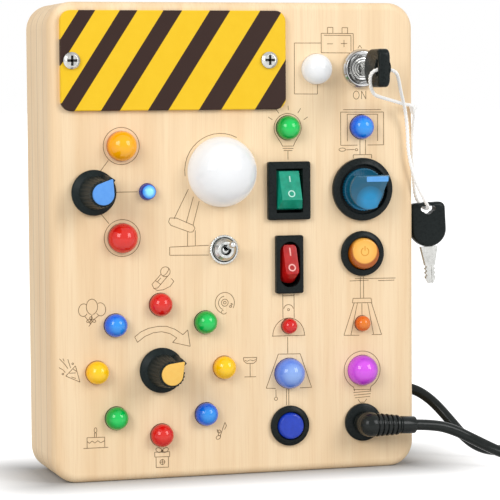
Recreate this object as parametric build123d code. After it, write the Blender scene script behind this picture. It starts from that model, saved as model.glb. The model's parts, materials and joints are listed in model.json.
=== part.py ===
from build123d import *
import math
import os

# A wooden busy board: a hollow case with switches, lights, a key lock and a plug on its front.
# Frame: +Z up, the front faces -Y, the origin is the middle of the bottom face. Millimetres.
#
# Every piece is drawn on the face: local x runs to the right, local y up from the bottom edge and
# local z out of the front face, so that a negative z lies inside the case. FACE then stands it up.

os.makedirs("parts", exist_ok=True)

# ------------------------------------------------------------------ clearances
running_gap = 0.05       # radial gap of a shaft in its bore
loose_gap = 0.15         # gap all round a piece that is set in a hole
moving_gap = 0.4         # gap beside a piece that moves in an opening
seat_gap = 0.3           # gap under a piece that turns or slides just above another

# ------------------------------------------------------------------ wooden case
board_w = 140.0
board_h = 175.0
front_t = 10.0           # front board
ring_t = 10.0            # each frame ring
back_t = 10.0            # back board
corner_r = 9.5
wall = 8.0               # rim round the hollow
hollow_r = 4.0
front_web = 5.0          # wood behind the face that carries the switches
back_web = 6.0
front_edge_r = 3.0
back_edge_r = 1.8
board_t = front_t + 2 * ring_t + back_t
back_inner = back_web - board_t          # inner face of the back board
inner_w = board_w - 2 * wall
inner_h = board_h - 2 * wall

case_screw_x = board_w / 2 - wall / 2
case_screw_inset = 20.0
case_screw_low = case_screw_inset
case_screw_high = board_h - case_screw_inset
case_screw_r = 1.5
case_screw_length = 25.0
case_screw_head_r = 3.0
case_screw_head_t = 1.7

# ------------------------------------------------------------------ rows and columns of the face
row_bottom = 17.6
lower_lights_pitch = 19.6     # each row over the one below, before they are spread up to the plate
small_lights_pitch = 17.7
red_rocker_pitch = 23.1
upper_switches_pitch = 27.4
upper_lights_pitch = 23.3
orange_button_pitch = 24.1    # orange button below the selector
toggle_up = 66.5              # toggle over the bottom row
lamp_plate_gap = 9.75         # lamp to the plate
dial_light_plate_gap = 6.7    # dial's upper light to the plate
lock_down = 24.6              # lock to the top edge
column_pitch = 28.9           # third column to the fourth one
ring_aside = 25.3             # ring's right light to the third column
lamp_aside = 25.6             # lamp to the third column
toggle_aside = 0.5            # toggle to the lamp
white_light_aside = 17.6      # white light to the lock
dial_lights_aside = 10.7      # three-way dial to its two lights
glow_light_aside = 20.3       # three-way dial to its small light
light_plate_gap = 2.35        # upper lights to the plate
plate_light_gap = 6.75        # plate to the white light
ring_edge_gap = 3.55          # ring lights to the wall at the left
ring_foot_gap = 3.15          # ring lights to the wall at the bottom
selector_edge_gap = 0.9       # selector's nut to the wall
dial_edge_gap = 0.4           # dial's body to the wall
box_edge_gap = 0.4            # battery box to the wall

# ------------------------------------------------------------------ sign plate
plate_h = 36.3
plate_t = 2.0
plate_corner_r = 4.0
plate_edge_left = 4.1
plate_edge_top = 3.15
plate_screw_left = 4.0   # screw to the plate's left edge
plate_screw_right = 6.6
plate_screw_head_r = 3.1
plate_screw_head_t = 1.6
plate_screw_r = 1.4
plate_screw_depth = 4.5  # into the wood
cross_w = 0.9
cross_length = 3.6
cross_depth = 0.9

# ------------------------------------------------------------------ lights
ring_radius = 24.1
ring_light_r = 4.25
upper_light_r = 4.5
dial_lights_r = 6.1
round_light_r = 5.65
small_light_r = 2.9
glow_light_r = 3.0
lens_lift = 1.0          # cylinder of the lens above the face
flange_over = 0.9
flange_t = 1.4
lead_r = 0.3
lead_pitch = 2.54
lead_length = 5.6
lamp_r = 13.0
lamp_wall = 1.5
lamp_seat = 1.5          # depth of the groove that holds the dome

# ------------------------------------------------------------------ dials
three_way_turn = 57.5
dial_lights_rise = 16.75
eight_way_turn = 45.0
skirt_r = 8.3
skirt_t = 1.4
dish_r = 7.0
dish_z = 3.1
grip_foot_r = 6.2
grip_foot_z = 4.2
grip_top_r = 5.1
knob_top = 16.0
knob_cavity_r = 6.1
knob_cavity_top = 2.9
rib_count = 22
rib_r = 0.32
rib_foot = 0.6           # rib groove to the foot of the grip
pointer_foot = 7.6       # reach of the ridge under the pointer
pointer_t = 2.6
cap_r = 4.35
cap_tip = 7.0
cap_t = 1.0
cap_peg_r = 1.4
cap_peg_length = 1.5
dial_shaft_r = 2.95
dial_shaft_top = 13.6
dial_shaft_foot = -12.0
shaft_flat = 0.8
dial_bush_r = 3.5
dial_bush_top = 2.5
dial_body_r = 7.6
dial_body_t = 9.0
dial_nut_flats = 10.0
dial_nut_t = 2.0
lug_w = 1.6
lug_t = 0.6
lug_length = 4.0
dial_lug_pitch = 5.0
toggle_lug_pitch = 4.5
rocker_lug_pitch = 6.0
selector_lug_pitch = 6.0

# ------------------------------------------------------------------ toggle switch
toggle_tilt = 13.0
toggle_pivot = 1.5
toggle_ball_r = 1.9
toggle_foot_r = 0.75
toggle_tip_r = 1.25
toggle_reach = 11.0      # pivot to the middle of the tip
toggle_bush_r = 3.0
toggle_bush_top = 3.0
toggle_bore_foot = -3.0
toggle_body_w = 8.0
toggle_body_h = 13.0
toggle_body_t = 9.5
toggle_washer_r = 5.3
toggle_washer_t = 0.9
toggle_nut_r = 4.1
toggle_nut_top = 3.6
toggle_nut_mouth_r = 2.0

# ------------------------------------------------------------------ rocker switches
bezel_h = 21.6
bezel_t = 2.2
bezel_edge = 0.8
green_bezel_w = 16.4
green_opening_w = 10.3
green_opening_h = 16.4
green_body_w = 12.8
red_bezel_w = 10.6
red_opening_w = 7.8
red_opening_h = 17.0
red_body_w = 9.2
rocker_body_h = 19.0
rocker_body_t = 18.0
rocker_cavity = 8.0
rocker_pivot = -1.5      # pivot to the face
rocker_tilt = 22.0
rocker_face = 5.2        # pivot to the flat face
rocker_half = 5.7        # half the flat face
rocker_end_y = 7.5
rocker_end_z = 1.2
rocker_foot_y = 7.2
rocker_foot_z = -1.0
rocker_keel_y = 3.0
rocker_keel_z = -3.5
rocker_side_taper = 0.9  # each side leans in this much towards the face
rocker_pin_r = 0.9
rocker_pin_in = 0.55

# ------------------------------------------------------------------ selector
selector_bezel_r = 11.75
selector_bezel_t = 3.0
selector_recess_r = 9.2
selector_recess_z = 1.0
selector_body_r = 9.9
selector_body_t = 20.0
selector_foot_r = 8.6
selector_foot_top_r = 7.6
selector_foot_z = 2.4
selector_foot_top = 3.8
selector_grip_r = 5.25
selector_tip_x = 8.2
selector_tip_r = 0.9
selector_top = 12.5
selector_draft = 5.0
selector_stem_r = 3.0
selector_stem_foot = -13.5
selector_nut_r = 12.0
selector_nut_t = 2.5

# ------------------------------------------------------------------ push buttons
orange_bezel_r = 8.45
orange_bezel_t = 2.2
orange_hole_r = 6.1
orange_body_r = 7.0
orange_body_t = 16.0
orange_cap_r = 5.85
orange_cap_side = 3.2
orange_disc_r = 5.15
orange_cap_top = 5.9
orange_cap_foot = -4.5
orange_nut_flats = 17.0
blue_bezel_r = 7.5
blue_bezel_t = 2.0
blue_hole_r = 5.2
blue_body_r = 6.0
blue_body_t = 14.0
blue_cap_r = 4.95
blue_cap_side = 2.2
blue_disc_r = 4.4
blue_cap_top = 3.4
blue_cap_foot = -4.0
blue_nut_flats = 15.0
button_floor_t = 2.1
button_stem_r = 1.5
button_stem_out = 0.6    # stem past the floor at rest
spring_mean_r = 3.1
spring_wire_r = 0.35
spring_turns = 5
spring_end_gap = 0.05
button_nut_t = 2.3
button_bevel = 0.3

# ------------------------------------------------------------------ key lock and keys
lock_ring_r = 7.4
lock_ring_top_r = 6.5
lock_ring_t = 2.6
lock_barrel_r = 6.0
lock_barrel_t = 18.0
lock_floor_t = 1.0
lock_lip = 0.8           # width of the funnel round the rotor
rotor_r = 4.3
rotor_top = 1.8
rotor_t = 17.8
keyway_w = 2.4
keyway_h = 4.3
keyway_depth = 8.2
lock_nut_flats = 16.0
lock_nut_t = 2.5
bow_t = 4.2
bow_w = 13.1
bow_length = 17.9
bow_foot = 9.3           # bow to the face
bow_foot_corner = 4.6
bow_outer_corner = 2.2
bow_edge_r = 0.9
bow_slot_h = 6.0
bow_slot_w = 2.4
bow_slot_inset = 3.4
blade_t = 2.0
blade_root_half = 3.4
blade_half = 1.9
blade_taper = 7.3
blade_length = 14.0
blade_tip_flat = 0.9
blade_groove_w = 0.9
blade_groove_t = 0.35
bitting = (1.2, 2.8, 4.4)
bitting_r = 0.45
tongue_w = 3.0
tongue_t = 1.5
tongue_length = 5.0
spare_slot = (77.1, -15.0, 97.4)
spare_lean = 3.0

# ------------------------------------------------------------------ plug, jack, cable and string
jack_flange_r = 7.1
jack_flange_t = 2.0
jack_body_r = 5.8
jack_body_t = 14.0
jack_bore_r = 2.8
jack_bore_depth = 12.0
jack_pin_r = 1.0
jack_pin_top = 0.5
jack_nut_flats = 14.0
jack_nut_t = 2.2
plug_turn = -2.6
plug_hub_r = 4.6
plug_hub_top = 13.6
plug_hub_edge_r = 1.5
plug_arm_axis = 9.0
plug_arm_length = 17.8
plug_arm_root_r = 4.5
plug_arm_end_r = 3.2
plug_rib_first = 5.6
plug_rib_pitch = 1.9
plug_rib_count = 5
plug_rib_w = 0.8
plug_rib_cut = 0.7
barrel_bore_r = 1.3
barrel_length = 9.5
cable_r = 2.05
string_r = 0.7
knot_r = 1.6
grommet_z = 27.0
grommet_y = 5.0
grommet_neck_r = 3.6
grommet_flange_r = 5.2
grommet_flange_t = 1.4
grommet_nose_r = 3.0
grommet_nose_t = 1.4

# ------------------------------------------------------------------ batteries and electronics
cell_r = 5.25
cell_length = 44.5
cell_nub_r = 1.9
cell_nub_t = 0.8
cell_edge = 0.3
cell_count = 3
cell_pitch = 11.1
contact_t = 0.4
contact_w = 8.0
contact_spring_length = 4.2
contact_spring_r = 2.6
contact_wire_r = 0.3
contact_turns = 3
contact_end_gap = 0.02
box_wall = 1.2
box_x = -22.0
box_side = 0.65          # gap beside the outer cells
box_room = 2.7           # room over the cells
box_corner_r = 1.5
door_t = 2.0
door_rim = 5.0           # the door's overlap round the battery opening
door_rim_top = 2.6
door_gap = 0.3
door_screw_r = 1.2
door_screw_head_r = 2.3
door_screw_head_t = 1.2
door_screw_length = 6.0
door_screw_slot = (3.0, 0.7, 0.6)
door_grip_w = 12.0
door_grip_depth = 1.0
door_grip_h = 1.2
door_grip_pitch = 2.4
door_grip_inset = 4.0
door_corner_r = 2.0
circuit_w = 84.0
circuit_h = 56.0
circuit_t = 1.6
circuit_x = -10.0
circuit_z = 64.0
circuit_corner_r = 1.5
boss_r = 3.0
boss_inset = 4.0
board_screw_r = 1.0
board_screw_head_r = 2.0
board_screw_head_t = 1.4
board_screw_length = 4.6
board_screw_slot = (2.6, 0.6, 0.6)
chip = (12.0, 7.5, 1.8)
socket = (9.0, 5.0, 4.5)
capacitor_r = 3.2
capacitor_t = 6.0
capacitor_across = 16.0    # from the middle of the circuit board
capacitor_down = 12.0
wire_r = 0.9

# ------------------------------------------------------------------ places on the face
plate_top = board_h - plate_edge_top
plate_left = plate_edge_left - board_w / 2
plate_bottom = plate_top - plate_h
lights_span = lower_lights_pitch + small_lights_pitch + red_rocker_pitch
lights_span += upper_switches_pitch + upper_lights_pitch + upper_light_r + light_plate_gap
spread = (plate_bottom - row_bottom) / lights_span
row_lower_lights = row_bottom + lower_lights_pitch * spread
row_small_lights = row_lower_lights + small_lights_pitch * spread
row_red_rocker = row_small_lights + red_rocker_pitch * spread
row_upper_switches = row_red_rocker + upper_switches_pitch * spread
row_upper_lights = row_upper_switches + upper_lights_pitch * spread
row_orange_button = row_upper_switches - orange_button_pitch * spread
row_lock = board_h - lock_down
toggle_z = row_bottom + toggle_up * spread
lamp_z = plate_bottom - lamp_plate_gap - lamp_r
three_way_z = plate_bottom - dial_light_plate_gap - dial_lights_r - dial_lights_rise
glow_light_z = three_way_z

ring_reach = ring_radius + ring_light_r + flange_over
ring_x = wall + ring_edge_gap + ring_reach - board_w / 2
ring_z = wall + ring_foot_gap + ring_reach
column_4 = board_w / 2 - wall - selector_edge_gap - selector_nut_r
column_share = column_pitch / (column_pitch + ring_aside)
column_3 = column_4 - (column_4 - ring_x - ring_radius) * column_share
lamp_x = column_3 - lamp_aside
toggle_x = lamp_x + toggle_aside
three_way_x = wall + dial_edge_gap + dial_body_r - board_w / 2
dial_lights_x = three_way_x + dial_lights_aside
glow_light_x = three_way_x + glow_light_aside
white_light_x = column_4 - white_light_aside
plate_w = white_light_x - round_light_r - plate_light_gap - plate_left

FACE = Location((0, -board_t / 2, 0), (90, 0, 0))
UP = (Align.CENTER, Align.CENTER, Align.MIN)


# ------------------------------------------------------------------ shapes on the face
def disc(radius, low, high):
    """A round plate between two depths."""
    return Pos(0, 0, low) * Cylinder(radius, high - low, align=UP)


def block(width, height, low, high):
    """A square-cornered plate between two depths."""
    return Pos(0, 0, low) * Box(width, height, high - low, align=UP)


def plate(width, height, radius, low, high):
    """A plate with rounded corners between two depths."""
    return Pos(0, 0, low) * extrude(RectangleRounded(width, height, radius), high - low)


def hexagon(flats, low, high):
    """A six-sided plate, given across its flats."""
    return Pos(0, 0, low) * extrude(RegularPolygon(flats / math.sqrt(3), 6), high - low)


def turned(*profile):
    """A round piece from its half section, given as (radius, depth) corners."""
    corners = [(radius, 0, depth) for radius, depth in profile]
    return revolve(make_face(Polyline(*corners, close=True)), Axis.Z)


def half_ball(radius, base):
    """The half of a ball that stands proud of a base plane."""
    return (Pos(0, 0, base) * Sphere(radius)) & block(3 * radius, 3 * radius, base, base + 2 * radius)


def at(x, y, shape, turn=0):
    """A shape moved to its place on the face, and turned about its own axis."""
    return Location((x, y, 0), (0, 0, turn)) * shape


def coil(mean_r, wire_r, low, high, turns):
    """A spring of round wire whose wire lies between two depths."""
    height = high - low - 2 * wire_r
    path = Pos(0, 0, low + wire_r) * Helix(height / turns, height, mean_r)
    section = Plane(origin=path @ 0, z_dir=path % 0) * Circle(wire_r)
    return sweep(section, path=path, is_frenet=True)


def tube(name, points, radius):
    """A round cord: straight runs joined by tangent arcs."""
    corners = [Vector(*point) for point in points]
    bends = []
    for before, here, after in zip(corners, corners[1:], corners[2:]):
        half_turn = math.radians((here - before).get_angle(after - here)) / 2
        shorter = min((here - before).length, (after - here).length)
        bends.append(0.45 * shorter / math.tan(half_turn))
    path = FilletPolyline(*corners, radius=bends)
    section = Plane(origin=path @ 0, z_dir=path % 0) * Circle(radius)
    cord = sweep(section, path=path)
    share = cord.volume / (math.pi * radius ** 2 * path.length)
    print(f"{name}: length {path.length:.1f}, volume share {share:.4f}, smallest bend {min(bends):.1f}")
    print("   bends", [round(bend, 1) for bend in bends])
    return cord


def save(name, *pieces, where=FACE):
    """Stand the pieces of one node up and write them to one file."""
    placed = [where * piece for piece in pieces]
    if len(placed) == 1:
        export_step(placed[0], f"parts/{name}.step")
    else:
        export_step(Compound(children=placed), f"parts/{name}.step")


WORLD = Location((0, 0, 0))

# ------------------------------------------------------------------ places that several pieces share
ring_angles = [step * 45 for step in range(8)]
ring_places = {
    angle: (
        ring_x + ring_radius * math.cos(math.radians(angle)),
        ring_z + ring_radius * math.sin(math.radians(angle)),
    )
    for angle in ring_angles
}
dial_places = [(three_way_x, three_way_z), (ring_x, ring_z)]
plate_mid = (plate_left + plate_w / 2, plate_top - plate_h / 2)
plate_screws = [
    (plate_left + plate_screw_left, plate_mid[1]),
    (plate_left + plate_w - plate_screw_right, plate_mid[1]),
]
case_screws = [(side * case_screw_x, y) for side in (-1, 1) for y in (case_screw_low, case_screw_high)]

# each light's node, its place and its lens radius
lights = [
    ("red_lights", *ring_places[90], ring_light_r),
    ("red_lights", *ring_places[270], ring_light_r),
    ("red_lights", dial_lights_x, three_way_z - dial_lights_rise, dial_lights_r),
    ("red_lights", column_3, row_small_lights, small_light_r),
    ("green_lights", *ring_places[45], ring_light_r),
    ("green_lights", *ring_places[225], ring_light_r),
    ("green_lights", column_3, row_upper_lights, upper_light_r),
    ("yellow_lights", *ring_places[0], ring_light_r),
    ("yellow_lights", *ring_places[180], ring_light_r),
    ("amber_light", dial_lights_x, three_way_z + dial_lights_rise, dial_lights_r),
    ("blue_lights", *ring_places[315], ring_light_r),
    ("blue_lights", *ring_places[135], ring_light_r),
    ("blue_lights", column_4, row_upper_lights, upper_light_r),
    ("pale_blue_light", column_3, row_lower_lights, round_light_r),
    ("orange_light", column_4, row_small_lights, small_light_r),
    ("dial_light", glow_light_x, glow_light_z, glow_light_r),
    ("white_lights", white_light_x, row_lock, round_light_r),
    ("white_lights", lamp_x, lamp_z, small_light_r),
    ("purple_light", column_4, row_lower_lights, round_light_r),
]


# ------------------------------------------------------------------ wooden case
def front_panel():
    """The front board: rounded front edge, hollow behind, and a hole for each thing on it."""
    panel = at(0, board_h / 2, plate(board_w, board_h, corner_r, -front_t, 0))
    panel = fillet(panel.faces().sort_by(Axis.Z)[-1].edges(), front_edge_r)
    panel -= at(0, board_h / 2, plate(inner_w, inner_h, hollow_r, -front_t, -front_web))
    through = -front_web - 1
    for _, x, y, radius in lights:
        panel -= at(x, y, disc(radius + loose_gap, through, 1))
    for x, y in dial_places:
        panel -= at(x, y, disc(dial_bush_r + loose_gap, through, 1))
    for x, y in plate_screws:
        panel -= at(x, y, disc(plate_screw_r + running_gap, -plate_screw_depth - loose_gap, 1))
    round_holes = [
        (toggle_x, toggle_z, toggle_bush_r),
        (column_4, row_upper_switches, selector_body_r),
        (column_4, row_orange_button, orange_body_r),
        (column_3, row_bottom, blue_body_r),
        (column_4, row_lock, lock_barrel_r),
        (column_4, row_bottom, jack_body_r),
    ]
    for x, y, radius in round_holes:
        panel -= at(x, y, disc(radius + loose_gap, through, 1))
    for y, width in ((row_upper_switches, green_body_w), (row_red_rocker, red_body_w)):
        hole = block(width + 2 * loose_gap, rocker_body_h + 2 * loose_gap, through, 1)
        panel -= at(column_3, y, hole)
    groove = disc(lamp_r + running_gap, -lamp_seat, 1)
    groove -= disc(lamp_r - lamp_wall - running_gap, -lamp_seat, 1)
    return panel - at(lamp_x, lamp_z, groove)


def frame_ring(low):
    """One wooden frame ring, drilled for the case screws and the cable's grommet."""
    ring = plate(board_w, board_h, corner_r, low, low + ring_t)
    ring -= plate(inner_w, inner_h, hollow_r, low, low + ring_t)
    ring = at(0, board_h / 2, ring)
    tip = case_screw_length - board_t
    for x, y in case_screws:
        ring -= at(x, y, disc(case_screw_r + running_gap, -board_t, tip + loose_gap))
    return ring - grommet_hole()


def grommet_hole():
    """The round hole for the grommet through the right wall."""
    hole = Cylinder(grommet_neck_r + running_gap, 2 * wall)
    return Location((board_w / 2, grommet_z, -board_t / 2 - grommet_y), (0, 90, 0)) * hole


def back_panel():
    """The back board: battery opening with its recess, screw holes and four bosses."""
    panel = at(0, board_h / 2, plate(board_w, board_h, corner_r, -board_t, back_t - board_t))
    panel = fillet(panel.faces().sort_by(Axis.Z)[0].edges(), back_edge_r)
    panel -= at(0, board_h / 2, plate(inner_w, inner_h, hollow_r, back_inner, back_t - board_t))
    panel -= at(box_x, box_z, block(box_inner_w, box_inner_h, -board_t - 1, back_inner + 1))
    hole_w = door_w + 2 * door_gap
    hole_h = door_h + 2 * door_gap
    door_hole = plate(hole_w, hole_h, door_corner_r + door_gap, -board_t - 1, door_t - board_t)
    panel -= at(box_x, box_z + door_shift, door_hole)
    panel -= at(*door_screw_place, disc(door_screw_r + running_gap, -board_t, back_inner + 1))
    sink = countersink(case_screw_head_r + loose_gap, case_screw_r + running_gap)
    for x, y in case_screws:
        panel -= at(x, y, disc(case_screw_r + running_gap, -board_t, back_t - board_t))
        panel -= at(x, y, sink)
    for x, y in bosses:
        boss = disc(boss_r, back_inner, circuit_low)
        bore = disc(board_screw_r + running_gap, circuit_high - board_screw_length - loose_gap, circuit_low)
        panel = panel + at(x, y, boss) - at(x, y, bore)
    return panel


def countersink(head_r, hole_r):
    """The cone of a flat screw head, opening at the back face."""
    top = case_screw_head_t - board_t
    return turned((0, -board_t), (head_r, -board_t), (hole_r, top), (0, top))


def case_screw():
    """A countersunk wood screw with a cross recess, head at the back face."""
    head = countersink(case_screw_head_r, case_screw_r)
    screw = head + disc(case_screw_r, case_screw_head_t - board_t, case_screw_length - board_t)
    return screw - cross(-board_t, 1)


def cross(depth, inward):
    """The cross recess of a screw head whose top lies at a depth."""
    low = min(depth, depth + inward * cross_depth)
    high = max(depth, depth + inward * cross_depth)
    return block(cross_length, cross_w, low, high) + block(cross_w, cross_length, low, high)


# ------------------------------------------------------------------ sign plate
def sign_plate():
    """The plate, softened along its front edge, with its two screw holes."""
    sign = at(*plate_mid, plate(plate_w, plate_h, plate_corner_r, 0, plate_t))
    sign = chamfer(sign.faces().sort_by(Axis.Z)[-1].edges(), plate_t / 6)
    for x, y in plate_screws:
        sign -= at(x, y, disc(plate_screw_r + loose_gap, -1, plate_t + 1))
    return sign


def plate_screw():
    """A pan-head screw that holds the sign plate."""
    top = plate_t + plate_screw_head_t
    shoulder = plate_t + plate_screw_head_t / 2
    head = turned(
        (0, plate_t),
        (plate_screw_head_r, plate_t),
        (plate_screw_head_r, shoulder),
        (plate_screw_head_r * 0.7, top),
        (0, top),
    )
    return head + disc(plate_screw_r, -plate_screw_depth, plate_t) - cross(top, -1)


# ------------------------------------------------------------------ lights
def light(radius):
    """A moulded light: domed lens, body through the wood, flange behind and two leads."""
    lens = disc(radius, -front_web, lens_lift) + half_ball(radius, lens_lift)
    back = -front_web - flange_t
    body = lens + disc(radius + flange_over, back, -front_web)
    for side in (-0.5, 0.5):
        body += Pos(side * lead_pitch, 0, 0) * disc(lead_r, back - lead_length, back)
    return body


def lamp_dome():
    """The big half-ball cover, its rim let into a groove in the wood."""
    shell = half_ball(lamp_r, 0) - half_ball(lamp_r - lamp_wall, 0)
    rim = disc(lamp_r, -lamp_seat, 0) - disc(lamp_r - lamp_wall, -lamp_seat, 0)
    return at(lamp_x, lamp_z, shell + rim)


# ------------------------------------------------------------------ dials
def teardrop_outline(radius, tip):
    """A circle with one corner that points along x, its sides tangent to the circle."""
    touch = math.acos(radius / tip)
    wing_x = radius * math.cos(touch)
    wing_y = radius * math.sin(touch)
    corner = make_face(Polyline((0, 0), (wing_x, wing_y), (tip, 0), (wing_x, -wing_y), close=True))
    return Circle(radius) + corner


def teardrop(radius, tip, low, high):
    """A round plate with one corner that points along x."""
    return Pos(0, 0, low) * extrude(teardrop_outline(radius, tip), high - low)


def dial_knob():
    """The black knob: skirt, ribbed grip and the ridge under its pointer, pointing along x."""
    foot = seat_gap * 2
    knob = turned(
        (0, foot),
        (skirt_r, foot),
        (skirt_r, foot + skirt_t),
        (dish_r, dish_z),
        (grip_foot_r, grip_foot_z),
        (grip_top_r, knob_top),
        (0, knob_top),
    )
    lean = math.degrees(math.atan2(grip_foot_r - grip_top_r, knob_top - grip_foot_z))
    groove = Location((grip_foot_r, 0, grip_foot_z), (0, -lean, 0)) * disc(rib_r, rib_foot, 2 * knob_top)
    for rib in range(1, rib_count):
        knob -= Rot(0, 0, rib * 360 / rib_count) * groove
    ridge = make_face(Polyline(
        (grip_top_r / 2, dish_z),
        (pointer_foot, dish_z),
        (cap_tip, knob_top),
        (grip_top_r / 2, knob_top),
        close=True,
    ))
    ridge = extrude(Plane.XZ * ridge, pointer_t / 2, both=True)
    knob += ridge & teardrop(grip_foot_r, pointer_foot + 1, dish_z, knob_top)
    knob -= disc(knob_cavity_r, 0, knob_cavity_top)
    knob -= disc(dial_shaft_r + running_gap, 0, dial_shaft_top + running_gap)
    return knob - disc(cap_peg_r + running_gap, knob_top - cap_peg_length - running_gap, knob_top + 1)


def dial_cap():
    """The coloured teardrop cap on the knob, pointing along x."""
    cap = teardrop(cap_r, cap_tip, knob_top, knob_top + cap_t)
    cap = chamfer(cap.faces().sort_by(Axis.Z)[-1].edges(), cap_t / 5)
    return cap + disc(cap_peg_r, knob_top - cap_peg_length, knob_top)


def dial_shaft():
    """The switch shaft, with a flat along its upper end."""
    shaft = disc(dial_shaft_r, dial_shaft_foot, dial_shaft_top)
    flat = Pos(dial_shaft_r, 0, 0) * block(2 * shaft_flat, 2 * dial_shaft_r, grip_foot_z, dial_shaft_top)
    return shaft - flat


def dial_body():
    """The rotary switch body with its threaded bush and three lugs."""
    back = -front_web - dial_body_t
    body = disc(dial_body_r, back, -front_web) + disc(dial_bush_r, -front_web, dial_bush_top)
    body -= disc(dial_shaft_r + running_gap, dial_shaft_foot - seat_gap, dial_bush_top + 1)
    return body + lugs(back, dial_lug_pitch)


def lugs(back, pitch):
    """Three solder lugs side by side behind a switch."""
    row = block(lug_w, lug_t, back - lug_length, back)
    for side in (-1, 1):
        row += Pos(side * pitch, 0, 0) * block(lug_w, lug_t, back - lug_length, back)
    return row


def nut(flats, bore, low, high):
    """A hexagon nut."""
    return hexagon(flats, low, high) - disc(bore + running_gap, low - 1, high + 1)


# ------------------------------------------------------------------ toggle switch
def toggle_body():
    """The toggle's case, its threaded bush and its lugs."""
    back = -front_web - toggle_body_t
    body = block(toggle_body_w, toggle_body_h, back, -front_web)
    body += disc(toggle_bush_r, -front_web, toggle_bush_top)
    body -= disc(toggle_ball_r + running_gap, toggle_bore_foot, toggle_bush_top + 1)
    return body + Rot(0, 0, 90) * lugs(back, toggle_lug_pitch)


def toggle_lever():
    """The lever: ball, tapered rod and rounded tip, leaning up from its pivot."""
    lever = Sphere(toggle_ball_r)
    lever += turned(
        (0, 0),
        (toggle_foot_r, toggle_ball_r / 2),
        (toggle_tip_r, toggle_reach),
        (0, toggle_reach),
    )
    lever += Pos(0, 0, toggle_reach) * Sphere(toggle_tip_r)
    return Location((0, 0, toggle_pivot), (-toggle_tilt, 0, 0)) * lever


def toggle_nut():
    """The domed nut round the lever."""
    shoulder = (toggle_washer_t + toggle_nut_top) / 2
    mouth = toggle_bush_top + running_gap
    bore = toggle_bush_r + running_gap
    return turned(
        (bore, toggle_washer_t),
        (toggle_nut_r, toggle_washer_t),
        (toggle_nut_r, shoulder),
        (toggle_nut_r * 0.72, toggle_nut_top),
        (toggle_nut_mouth_r, toggle_nut_top),
        (toggle_nut_mouth_r, mouth),
        (bore, mouth),
    )


# ------------------------------------------------------------------ rocker switches
def rocker_side(width):
    """The rocker's side outline about its pivot, as a bar along x."""
    right = [
        (rocker_half, rocker_face),
        (rocker_end_y, rocker_end_z),
        (rocker_foot_y, rocker_foot_z),
        (rocker_keel_y, rocker_keel_z),
    ]
    left = [(-y, z) for y, z in reversed(right)]
    outline = make_face(Polyline(*right, *left, close=True))
    return extrude(Plane.YZ * outline, width / 2, both=True)


def rocker_pins(width):
    """The two pivot pins of a rocker, as one bar along x."""
    return Rot(0, 90, 0) * Cylinder(rocker_pin_r, width + 2 * (moving_gap + rocker_pin_in))


def green_rocker():
    """The square rocker, its sides leaning in towards the flat face."""
    half = green_opening_w / 2 - moving_gap
    top = half - rocker_side_taper
    section = make_face(Polyline(
        (-half, rocker_keel_z),
        (half, rocker_keel_z),
        (half, rocker_end_z),
        (top, rocker_face),
        (-top, rocker_face),
        (-half, rocker_end_z),
        close=True,
    ))
    rocker = rocker_side(2 * half) & extrude(Plane.XZ * section, 2 * rocker_end_y, both=True)
    return rocker + rocker_pins(2 * half)


def red_rocker():
    """The round-ended rocker, narrower towards its face."""
    width = red_opening_w - 2 * moving_gap
    height = rocker_face - rocker_keel_z
    draft = math.degrees(math.atan2(rocker_side_taper, height))
    outline = SlotOverall(2 * rocker_end_y, width)
    column = Pos(0, 0, rocker_keel_z) * extrude(Rot(0, 0, 90) * outline, height, taper=draft)
    return (rocker_side(width) & column) + rocker_pins(width)


def rocker_housing(bezel_w, body_w, opening, pin_half):
    """A rocker switch's bezel and case, open at the front round its rocker."""
    bezel = plate(bezel_w, bezel_h, bezel_edge, 0, bezel_t)
    bezel = chamfer(bezel.faces().sort_by(Axis.Z)[-1].edges(), bezel_edge / 2)
    case = bezel + block(body_w, rocker_body_h, -rocker_body_t, 0)
    case -= Pos(0, 0, -rocker_cavity) * extrude(opening, rocker_cavity + bezel_t + 1)
    bore = Cylinder(rocker_pin_r + running_gap, 2 * pin_half)
    case -= Location((0, 0, rocker_pivot), (0, 90, 0)) * bore
    return case + Rot(0, 0, 90) * lugs(-rocker_body_t, rocker_lug_pitch)


def in_housing(rocker):
    """A rocker on its pivot, its upper half pressed in."""
    return Location((0, 0, rocker_pivot), (-rocker_tilt, 0, 0)) * rocker


# ------------------------------------------------------------------ selector
def selector_housing():
    """The selector's round bezel with its recess, and its case."""
    rim = selector_bezel_t / 3
    case = turned(
        (0, 0),
        (selector_bezel_r, 0),
        (selector_bezel_r, selector_bezel_t - rim),
        (selector_bezel_r - 2 * rim, selector_bezel_t),
        (selector_recess_r, selector_bezel_t),
        (selector_recess_r, selector_recess_z),
        (0, selector_recess_z),
    )
    case += disc(selector_body_r, -selector_body_t, 0)
    case -= disc(selector_stem_r + running_gap, selector_stem_foot - seat_gap, selector_bezel_t)
    return case + lugs(-selector_body_t, selector_lug_pitch)


def selector_knob():
    """The selector's round foot, its flag-shaped grip and its stem."""
    foot = turned(
        (0, selector_recess_z + seat_gap),
        (selector_foot_r, selector_recess_z + seat_gap),
        (selector_foot_r, selector_foot_z),
        (selector_foot_top_r, selector_foot_top),
        (0, selector_foot_top),
    )
    reach = math.hypot(selector_tip_x, selector_grip_r)
    lean = math.degrees(math.atan2(selector_grip_r, selector_tip_x))
    outline = teardrop_outline(selector_grip_r, reach)
    outline = fillet(outline.vertices().sort_by(Axis.X)[-1], selector_tip_r)
    outline = Location((0, 0, selector_top), (0, 0, lean)) * outline
    grip_height = selector_top - selector_bezel_t - seat_gap
    grip = extrude(outline, grip_height, dir=(0, 0, -1), taper=-selector_draft)
    stem = disc(selector_stem_r, selector_stem_foot, selector_recess_z + seat_gap)
    return foot + grip + stem


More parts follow.
